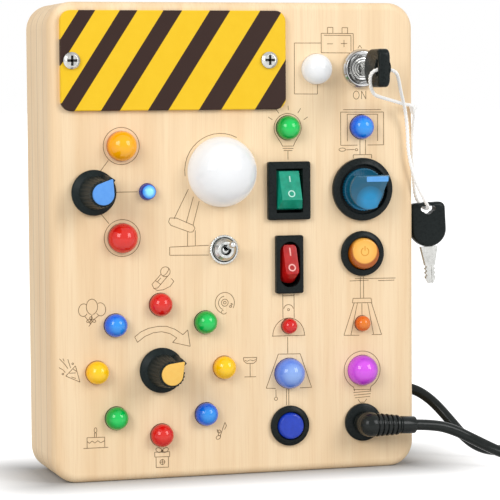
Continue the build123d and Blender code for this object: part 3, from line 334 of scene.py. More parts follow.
class Slot(Enum):
    """The record's material slots, named beside the pieces' finishes."""

    FACE = "pine_face"
    SIDE = "pine_side"
    SCREW = "steel_screw"
    CHROME = "chrome_part"
    SIGN = "sign_yellow"
    BLACK = "black_plastic"
    RED = "red_lens"
    GREEN = "green_lens"
    YELLOW = "yellow_lens"
    AMBER = "amber_lens"
    BLUE = "blue_lens"
    PALE_BLUE = "pale_blue_lens"
    ORANGE = "orange_lens"
    CYAN = "cyan_lens"
    WHITE = "white_lens"
    PURPLE = "purple_lens"
    BLUE_CAP = "blue_cap"
    TAN_CAP = "tan_cap"
    GREEN_ROCKER = "green_rocker_plastic"
    RED_ROCKER = "red_rocker_plastic"
    BLUE_CLEAR = "blue_clear"
    ORANGE_CLEAR = "orange_clear"
    BLUE_PUSH = "blue_push"
    CELL = "cell_wrap"
    CIRCUIT = "circuit_green"
    NICKEL = "nickel_wire"
    STRING = "string_white"
    CABLE = "cable_black"
    WIRE = "wire_red"


# ---------------------------------------------------------------- finishes
def rgba(colour: object) -> object:
    """A colour with its alpha, or the socket that was given."""
    return (*colour, 1.0) if isinstance(colour, tuple) else colour


class Graph:
    """A node tree round one shader, with short calls for the nodes that the finishes share."""

    def __init__(self, tree: bpy.types.NodeTree, shader: str) -> None:
        """Work on a tree round the shader that it starts with."""
        self.tree = tree
        self.shader = tree.nodes[shader]

    def feed(self, node: bpy.types.Node, socket: str | int, value: object) -> None:
        """Link a socket into an input, or set the input to a plain value."""
        if isinstance(value, Socket):
            self.tree.links.new(value, node.inputs[socket])
        else:
            node.inputs[socket].default_value = value

    def node(self, kind: str, inputs: dict, **settings: object) -> bpy.types.Node:
        """Add a node, set its properties and feed its inputs."""
        made = self.tree.nodes.new("ShaderNode" + kind)
        for name, value in settings.items():
            setattr(made, name, value)
        for socket, value in inputs.items():
            self.feed(made, socket, value)
        return made

    def math(self, operation: str, *values: object, clamp: bool = False) -> Socket:
        """One arithmetic step."""
        return self.node("Math", dict(enumerate(values)), operation=operation, use_clamp=clamp).outputs[0]

    def place(self) -> Socket:
        """The point's place in the frame, in metres."""
        return self.node("TexCoord", {}).outputs["Object"]

    def axes(self) -> tuple[Socket, ...]:
        """The place's X, Y and Z."""
        return tuple(self.node("SeparateXYZ", {0: self.place()}).outputs)

    def hypotenuse(self, first: Socket, second: Socket) -> Socket:
        """The length of the two values taken at right angles."""
        squares = [self.math("POWER", value, 2.0) for value in (first, second)]
        return self.math("SQRT", self.math("ADD", *squares))

    def from_axis(self, centre: Place) -> Socket:
        """The distance from an axis that stands out of the face at a place."""
        x, _, z = self.axes()
        return self.hypotenuse(*(self.math("SUBTRACT", value, at * MM) for value, at in zip((x, z), centre)))

    def past(self, value: Socket, edge: float) -> Socket:
        """How far a value lies past an edge on either side of zero, 0 within it."""
        return self.math("MAXIMUM", self.math("SUBTRACT", self.math("ABSOLUTE", value), edge * MM), 0.0)

    def noise(self, vector: Socket, detail: float = 4.0) -> Socket:
        """Soft random values from 0 to 1 over a vector whose unit is one feature."""
        inputs = {"Vector": vector, "Scale": 1.0, "Detail": detail, "Roughness": 0.55}
        return self.node("TexNoise", inputs).outputs[0]

    def span(self, value: Socket, low: float, high: float, start: float = 0.0, end: float = 1.0,
             smooth: bool = False) -> Socket:
        """Map low..high to start..end and clamp it there."""
        kind = "SMOOTHSTEP" if smooth else "LINEAR"
        inputs = {"Value": value, "From Min": low, "From Max": high, "To Min": start, "To Max": end}
        return self.node("MapRange", inputs, interpolation_type=kind, clamp=True).outputs[0]

    def blend(self, share: object, first: object, second: object) -> Socket:
        """Mix two colours by a share of the second."""
        inputs = {0: share, 6: rgba(first), 7: rgba(second)}
        return self.node("Mix", inputs, data_type="RGBA").outputs[2]

    def shown(self) -> Socket:
        """1 for rays of the camera, of reflections and through glass, 0 for those that light the object."""
        rays = self.node("LightPath", {}).outputs
        mirrored = self.math("MAXIMUM", rays["Is Glossy Ray"], rays["Is Transmission Ray"])
        return self.math("MAXIMUM", rays["Is Camera Ray"], mirrored)

    def bump(self, height: Socket, depth: float) -> None:
        """Raise the surface by a height pattern of a depth in metres."""
        made = self.node("Bump", {"Height": height, "Strength": 1.0, "Distance": depth})
        self.set(Normal=made.outputs[0])

    def set(self, **values: object) -> None:
        """Set the shader's own sockets, written with underscores for spaces."""
        for name, value in values.items():
            self.feed(self.shader, name.replace("_", " "), value)


def principled(name: str) -> tuple[bpy.types.Material, Graph]:
    """A new material and the graph round its principled shader."""
    material = bpy.data.materials.new(name)
    material.use_nodes = True
    return material, Graph(material.node_tree, "Principled BSDF")


@dataclass(frozen=True)
class Finish:
    """A plain moulded or painted surface, a little uneven in colour and gloss."""

    name: str  # the material's name
    colour: Colour  # the main colour
    shade: Colour  # the colour it drifts to
    grain: float = 2.0  # the size of the unevenness
    rough: Pair = (0.35, 0.45)  # lowest and highest roughness
    relief: float = 0.004  # depth of the fine bumps
    metal: float = 0.0  # 1 for metals
    coat: float = 0.0  # weight of a clear gloss on top
    gloss: float = 0.18  # strength of its own reflection
    glow: float = 0.0  # share of its own colour that it gives out, painted light on parts that are no lamps

    def uneven(self, graph: Graph) -> Socket:
        """Noise whose features are as large as the grain."""
        scale = (1 / (self.grain * MM),) * 3
        return graph.noise(graph.node("Mapping", {"Vector": graph.place(), "Scale": scale}).outputs[0])

    def colours(self, graph: Graph) -> Socket:
        """The colour over the surface, drifting to the shade with the noise."""
        return graph.blend(graph.span(self.uneven(graph), 0.3, 0.7), self.colour, self.shade)

    def relief_pattern(self, graph: Graph) -> Socket:
        """The height pattern of the fine bumps."""
        return self.uneven(graph)

    def material(self) -> bpy.types.Material:
        """The finish as a material, made once."""
        known = bpy.data.materials.get(self.name)
        if known:
            return known
        material, graph = principled(self.name)
        colour = self.colours(graph)
        graph.set(Base_Color=colour, Metallic=self.metal, Specular_IOR_Level=self.gloss)
        graph.set(Coat_Weight=self.coat, Coat_Roughness=0.05)
        graph.set(Roughness=graph.span(self.uneven(graph), 0.25, 0.75, *self.rough))
        if self.glow:
            graph.set(Emission_Color=colour, Emission_Strength=self.glow)
        graph.bump(self.relief_pattern(graph), self.relief * MM)
        return material


@dataclass(frozen=True)
class Wood(Finish):
    """Sanded light wood in layers, its grain upright."""

    joint: Colour = (0.50, 0.36, 0.23)  # the colour of the glue line between two layers
    glue: Pair = (0.12, 0.35)  # half the glue line's width, full and faded out
    layer: float = 10.0  # the thickness of a layer
    layers: int = 3  # how many there are
    streak: Pair = (0.55, 26.0)  # width and length of a fine streak
    band: Pair = (7.0, 160.0)  # width and length of a broad band
    fleck: Pair = (0.9, 9.0)  # width and length of a dark fleck

    def streaks(self, graph: Graph, size: Pair) -> Socket:
        """Noise drawn out upwards to a width and length, shifted sideways from layer to layer."""
        width, length = size
        x, y, z = graph.axes()
        layer = graph.math("FLOOR", graph.math("DIVIDE", y, self.layer * MM))
        side = graph.math("ADD", graph.math("DIVIDE", x, width * MM), graph.math("MULTIPLY", layer, 17.3))
        deep = graph.math("DIVIDE", y, width * 2 * MM)
        tall = graph.math("DIVIDE", z, length * MM)
        return graph.noise(graph.node("CombineXYZ", {0: side, 1: deep, 2: tall}).outputs[0], 3.0)

    def uneven(self, graph: Graph) -> Socket:
        """Fine streaks that run up the board."""
        return self.streaks(graph, self.streak)

    def darker(self, *shares: float) -> Colour:
        """The shade with a share of each of its channels."""
        return tuple(channel * share for channel, share in zip(self.shade, shares))

    def colours(self, graph: Graph) -> Socket:
        """Broad soft bands, fine streaks and flecks over them, and a darker line at each glue joint."""
        bands = graph.span(self.streaks(graph, self.band), 0.35, 0.68)
        fine = graph.span(self.uneven(graph), 0.48, 0.78, 0.0, 0.55)
        flecks = graph.span(self.streaks(graph, self.fleck), 0.64, 0.8, 0.0, 0.35)
        base = graph.blend(bands, self.colour, self.shade)
        base = graph.blend(fine, base, self.darker(0.93, 0.89, 0.84))
        base = graph.blend(flecks, base, self.darker(0.86, 0.75, 0.66))
        _, y, _ = graph.axes()
        near = graph.math("PINGPONG", y, self.layer / 2 * MM)
        line = graph.span(near, self.glue[0] * MM, self.glue[1] * MM, 0.75, 0.0)
        inside = graph.math("LESS_THAN", graph.math("ABSOLUTE", y), self.layers / 2 * self.layer * MM)
        return graph.blend(graph.math("MULTIPLY", line, inside), base, self.joint)


@dataclass(frozen=True)
class Hazard(Finish):
    """Slanted warning stripes on a plate, satin printed."""

    stripe: Colour = (0.038, 0.019, 0.015)  # the dark stripe's colour
    period: float = 17.6  # the distance from stripe to stripe along the plate
    width: float = 7.3  # a stripe's width along the plate
    slant: float = 0.655  # how far a stripe moves right as it goes up by one
    start: float = -103.55  # where a stripe's left edge would meet the frame's foot
    middle: float = -3.0  # the number of periods from there to the stripe that the others spread from
    # how the stripes' count grows with the distance from that stripe: its rate and its bend
    spread: Pair = (1.119, -0.041)
    soft: float = 0.006  # half the width over which a stripe's edge fades, as a share of the period

    def colours(self, graph: Graph) -> Socket:
        """Dark where the place in its period is within the stripe's share of it.

        Ten whole periods are added before the fraction is taken, so that it is never of a negative number.
        """
        x, _, z = graph.axes()
        along = graph.math("SUBTRACT", x, graph.math("MULTIPLY", z, self.slant))
        turns = graph.math("DIVIDE", graph.math("SUBTRACT", along, self.start * MM), self.period * MM)
        away = graph.math("SUBTRACT", turns, self.middle)
        rate = graph.math("ADD", graph.math("MULTIPLY", away, self.spread[1]), self.spread[0])
        share = graph.math("FRACT", graph.math("ADD", graph.math("MULTIPLY", away, rate), 10.0))
        half = self.width / self.period / 2
        off = graph.math("ABSOLUTE", graph.math("SUBTRACT", share, half))
        dark = graph.span(off, half - self.soft, half + self.soft, 1.0, 0.0)
        return graph.blend(dark, super().colours(graph), self.stripe)


@dataclass(frozen=True)
class Lens(Finish):
    """A tinted, glossy dome: painted shade deepens its foot and a painted highlight clears its top."""

    grain: float = 3.0
    rough: Pair = (0.05, 0.10)
    relief: float = 0.0
    coat: float = 0.45
    gloss: float = 0.2
    glow: float = 0.14
    lit_crown: Colour = (1.0, 1.0, 1.0)  # the painted highlight's colour at the top
    height: float = 5.25  # the dome's height over the face
    # where the painted shade of the foot starts and ends to give way, as a length and as a share of the
    # height
    body: Pair = (0.25, 0.55)
    # where the painted highlight starts, as a share of the height, and how much of it shows
    top: Pair = (0.62, 0.8)
    across: float = 0.0  # how much more painted highlight the left edge gets than the right one, 0 for none
    centre: float = 0.0  # the dome's middle along the face, for that painted light

    def colours(self, graph: Graph) -> Socket:
        """Painted shade at the face, the body colour above it and the painted highlight near the top."""
        x, y, _ = graph.axes()
        out = graph.math("SUBTRACT", FACE_Y * MM, y)
        height = self.height * MM
        # painted shade low on the dome and a painted highlight towards its top, by height over the face
        rise = graph.span(out, self.body[0] * MM, self.body[1] * height, smooth=True)
        top = graph.span(out, self.top[0] * height, height, 0.0, self.top[1], smooth=True)
        if self.across:
            middle = self.centre * MM
            side = graph.span(x, middle - height, middle + height, self.across, 0.0)
            top = graph.math("ADD", top, side, clamp=True)
        return graph.blend(top, graph.blend(rise, self.shade, self.colour), self.lit_crown)


@dataclass(frozen=True)
class RoundGlow(Finish):
    """A small light or clear cap seen end on, with painted light: bright in the middle and painted shade at
    its ring.
    """

    ring: Colour = (0.0, 0.0, 0.0)  # the painted shade at the edge
    centre: Place = (0.0, 0.0)  # the light's middle on the face
    radius: float = 3.0  # its radius
    inner: Pair = (0.35, 0.72)  # where the painted bright middle gives way to the shade colour, as shares of the radius
    outer: Pair = (0.76, 0.86)  # where the shade colour gives way to the painted dark ring

    def colours(self, graph: Graph) -> Socket:
        """Painted light and shade by the distance from the light's axis: bright in the middle, dark at the
        ring.
        """
        away = graph.from_axis(self.centre)
        middle, edge = (graph.span(away, *(share * self.radius * MM for share in band))
                        for band in (self.inner, self.outer))
        return graph.blend(edge, graph.blend(middle, self.colour, self.shade), self.ring)


@dataclass(frozen=True)
class TurnedMetal(Finish):
    """Bright metal with fine rings round an axis that points out of the face, painted dark in their grooves.
    """

    centre: Place = (0.0, 0.0)  # the axis on the face
    pitch: float = 0.8  # the distance between two rings
    groove: Colour = (0.05, 0.05, 0.05)  # the painted shade in the grooves

    def relief_pattern(self, graph: Graph) -> Socket:
        """Rings: a wave of the distance from the axis."""
        return graph.math("SINE", graph.math("MULTIPLY", graph.from_axis(self.centre),
                                             2 * math.pi / (self.pitch * MM)))

    def colours(self, graph: Graph) -> Socket:
        """Painted shade in the grooves, bright between them, each uneven round its ring."""
        deep = graph.span(self.relief_pattern(graph), -0.2, -0.8)
        return graph.blend(deep, super().colours(graph), self.groove)


PINE = Wood("pine", (0.94, 0.735, 0.485), (0.86, 0.625, 0.38), rough=(0.5, 0.62), relief=0.02, gloss=0.2)
SIGN = Hazard("hazard_print", (0.9, 0.575, 0.025), (0.88, 0.55, 0.02), 5.0, (0.3, 0.38), gloss=0.15)
STEEL = Finish("bright_zinc", (0.58, 0.58, 0.56), (0.42, 0.42, 0.4), 1.5, (0.2, 0.32), 0.006, metal=1.0)
NUT = Finish("nickel_nut", (0.66, 0.67, 0.65), (0.42, 0.43, 0.42), 1.2, (0.2, 0.34), 0.012, metal=1.0)
CHROME = Finish("chrome", (0.66, 0.67, 0.66), (0.4, 0.41, 0.41), 1.6, (0.05, 0.14), 0.012, metal=1.0)
NICKEL = Finish("nickel_spring", (0.6, 0.59, 0.55), (0.48, 0.47, 0.44), 1.0, (0.25, 0.4), metal=1.0)
BLACK = Finish("black_moulding", (0.008, 0.011, 0.011), (0.013, 0.017, 0.017), 0.8, (0.24, 0.34), 0.006,
               gloss=0.1)
KNOB_BLACK = Finish("knob_black", (0.008, 0.013, 0.014), (0.016, 0.023, 0.023), 1.6, (0.34, 0.46), gloss=0.1)
RUBBER = Finish("cable_rubber", (0.008, 0.011, 0.01), (0.013, 0.016, 0.015), 3.0, (0.16, 0.24), 0.006,
                gloss=0.2)
# Painted shade: a dark sheet for the screws' cross recesses and round the toggle's nut.
RECESS_SHADE = Finish("recess_shade", (0.03, 0.03, 0.03), (0.06, 0.06, 0.055), 0.6, (0.5, 0.6), 0.01, gloss=0.1)
WHITE_PRINT = Finish("pale_mark", (0.55, 0.82, 0.72), (0.5, 0.78, 0.68), 1.0, (0.4, 0.5))
PINK_PRINT = Finish("pink_mark", (0.9, 0.52, 0.47), (0.85, 0.46, 0.42), 1.0, (0.4, 0.5))
# The marks' glow is painted light.
ORANGE_MARK = Finish("orange_mark", (0.7, 0.3, 0.04), (0.64, 0.26, 0.03), 1.0, (0.4, 0.5), glow=0.1)
BLUE_BAR = Finish("selector_mark", (0.1, 0.33, 0.72), (0.13, 0.39, 0.78), 2.0, (0.3, 0.4), glow=0.1)
BURN = Finish("engraving", (0.17, 0.11, 0.06), (0.34, 0.22, 0.12), 1.4, (0.8, 0.95), 0.0, gloss=0.1)
# The string's glow is painted light.
STRING = Finish("waxed_string", (0.93, 0.92, 0.9), (0.84, 0.83, 0.81), 0.5, (0.55, 0.7), 0.02, glow=0.2)
CELL_WRAP = Finish("cell_sleeve", (0.02, 0.12, 0.07), (0.03, 0.16, 0.09), 4.0, (0.3, 0.4), coat=0.3)
CIRCUIT = Finish("solder_mask", (0.01, 0.09, 0.04), (0.02, 0.13, 0.06), 2.5, (0.35, 0.5), 0.01)
WIRE = Finish("wire_sleeve", (0.42, 0.02, 0.015), (0.5, 0.03, 0.02), 2.0, (0.4, 0.5))
LAMP_WHITE = Finish("opal_white", (0.72, 0.73, 0.74), (0.7, 0.71, 0.72), 9.0, (0.14, 0.2), 0.0, coat=0.5,
                    glow=0.29)
# The rockers' glow is painted light.
GREEN_TINT = Finish("green_rocker_tint", (0.01, 0.33, 0.21), (0.004, 0.23, 0.14), 2.4, (0.12, 0.2), 0.01,
                    coat=0.25, gloss=0.15, glow=0.12)
RED_TINT = Finish("red_rocker_tint", (0.47, 0.01, 0.008), (0.34, 0.004, 0.004), 2.4, (0.12, 0.2), 0.01,
                  coat=0.2, gloss=0.12, glow=0.12)
# The push cap's glow is painted light.
BLUE_PUSH = Finish("blue_push_cap", (0.01, 0.05, 0.52), (0.006, 0.035, 0.4), 2.6, (0.12, 0.2), 0.01,
                   coat=0.3, gloss=0.2, glow=0.08)
BLUE_CAP = Finish("blue_knob_cap", (0.13, 0.37, 0.86), (0.11, 0.33, 0.82), 1.6, (0.35, 0.42), 0.003)
TAN_CAP = Finish("tan_knob_cap", (0.93, 0.58, 0.14), (0.91, 0.54, 0.12), 1.6, (0.35, 0.42), 0.003)


# ---------------------------------------------------------------- making pieces
class Part(Protocol):
    """Something that makes its own pieces."""

    def build(self, maker: Maker) -> None:
        """Make the pieces."""


def added(name: str, data: bpy.types.ID) -> bpy.types.Object:
    """A new object in the scene."""
    made = bpy.data.objects.new(name, data)
    bpy.context.scene.collection.objects.link(made)
    return made


class Maker:
    """Puts surfaces into Blender, gives them their finish and hangs them on the frame's bodies."""

    def __init__(self, frame: dict) -> None:
        """Keep the frame and read which body each node rides on."""
        self.nodes = frame["nodes"]
        bodies = frame["record"]["behaviour"]["bodies"]
        self.body_of = {node: body for body, nodes in bodies.items() for node in nodes}

    def mesh(self, name: str, surfaces: tuple[Surface, ...]) -> bpy.types.Mesh:
        """One mesh of several closed surfaces, its poles merged."""
        mesh = bpy.data.meshes.new(name)
        faces: list[list[int]] = []
        count = 0
        for surface in surfaces:
            faces += surface.faces(count)
            count += surface.rings[..., 0].size
        points = np.concatenate([surface.rings.reshape(-1, 3) for surface in surfaces])
        mesh.from_pydata(points.tolist(), [], faces)
        merged = bmesh.new()
        merged.from_mesh(mesh)
        bmesh.ops.remove_doubles(merged, verts=merged.verts, dist=1e-7)
        bmesh.ops.dissolve_degenerate(merged, edges=merged.edges, dist=1e-8)
        merged.to_mesh(mesh)
        merged.free()
        return mesh

    def show(self, name: str, mesh: bpy.types.Mesh, body: str, finish: Finish, node: str = "",
             angle: float = 32.0) -> bpy.types.Object:
        """Make a mesh a piece of the object.

        Args:
            name: the piece's name.
            mesh: its finished mesh, in frame metres.
            finish: its finish.
            node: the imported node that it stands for, if any.
            angle: edges sharper than this stay sharp.

        Returns:
            The new object.
        """
        mesh.polygons.foreach_set("use_smooth", np.ones(len(mesh.polygons), bool))
        mesh.set_sharp_from_angle(angle=math.radians(angle))
        mesh.materials.clear()
        mesh.materials.append(finish.material())
        piece = added(name, mesh)
        if node:
            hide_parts(node)
        if body:
            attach(piece, body)
        log.info("%s: %d faces", name, len(mesh.polygons))
        return piece

    def piece(self, name: str, body: str, finish: Finish, slot: Slot, *surfaces: Surface,
              node: str = "") -> bpy.types.Object:
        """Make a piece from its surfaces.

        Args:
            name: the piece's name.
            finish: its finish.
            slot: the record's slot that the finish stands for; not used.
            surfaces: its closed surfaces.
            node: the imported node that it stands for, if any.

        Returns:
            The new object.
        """
        return self.show(name, self.mesh(name, surfaces), body, finish, node)

    def dress(self, finish: Finish, *nodes: str) -> None:
        """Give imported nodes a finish."""
        for node in nodes:
            data = self.nodes[node].data
            data.materials.clear()
            data.materials.append(finish.material())
            log.info("%s: dressed as %s", node, finish.name)

    def eased(self, node: str, finish: Finish, edge: float = 0.0,
              angle: float = 30.0) -> bpy.types.Object:
        """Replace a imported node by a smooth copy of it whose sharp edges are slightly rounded.

        Its doubled points are merged and its flat facets joined, so that the edges are the shape's own.

        Args:
            node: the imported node.
            finish: its finish.
            edge: the radius of the rounded edges.
            angle: edges sharper than this are rounded.

        Returns:
            The copy.
        """
        mesh = self.nodes[node].data.copy()
        mesh.name = node + "_eased"
        whole = bmesh.new()
        whole.from_mesh(mesh)
        bmesh.ops.remove_doubles(whole, verts=whole.verts, dist=1e-6)
        bmesh.ops.dissolve_limit(whole, angle_limit=math.radians(0.4), verts=whole.verts, edges=whole.edges)
        whole.to_mesh(mesh)
        whole.free()
        piece = self.show(node + "_eased", mesh, self.body_of[node], finish, node, angle)
        if edge:
            bevel = piece.modifiers.new("eased_edges", "BEVEL")
            bevel.width = edge * MM
            bevel.segments = 2
            bevel.limit_method = "ANGLE"
            bevel.angle_limit = math.radians(angle)
            bevel.harden_normals = True
        return piece


# ---------------------------------------------------------------- drawings engraved in the face
def line(*points: Place) -> Stroke:
    """A stroke through points on the face."""
    return np.array(points, float)


def oval(right: float, up: float, half_w: float, half_h: float = 0.0, start: float = 0.0, end: float = 360.0,
         turn: float = 0.0) -> Stroke:
    """A stroke along an ellipse, or a circle where no half height is given, a point for each 9 degrees.

    Args:
        right: the middle's place across the face.
        up: the middle's height on the face.
        half_w: half its width.
        half_h: half its height.
        start: the angle where the stroke starts.
        end: the angle where it ends.
        turn: how far the ellipse is turned.

    Returns:
        The stroke's points.
    """
    ellipse = arc(1.0, start, end, max(6, int(abs(end - start) / 9))) * np.array([half_w, half_h or half_w])
    return moved(ellipse, right, up, turn)


def flat_strip(stroke: Stroke, width: float, low: float, high: float) -> Points:
    """A strip of square section along a stroke: each ring is the section across it there.

    Args:
        stroke: the middle of the strip, on the face.
        width: the strip's width.
        low: its foot over the face.
        high: its top over the face.

    Returns:
        rows x 4 x 3 points.
    """
    along = np.gradient(stroke, axis=0)
    along /= np.maximum(np.linalg.norm(along, axis=1, keepdims=True), 1e-9)
    left = np.stack([-along[:, 1], along[:, 0]], axis=-1) * width / 2
    corners = [(left, high), (-left, high), (-left, low), (left, low)]
    rings = [np.column_stack([stroke + side, np.full(len(stroke), out)]) for side, out in corners]
    return np.stack(rings, axis=1)


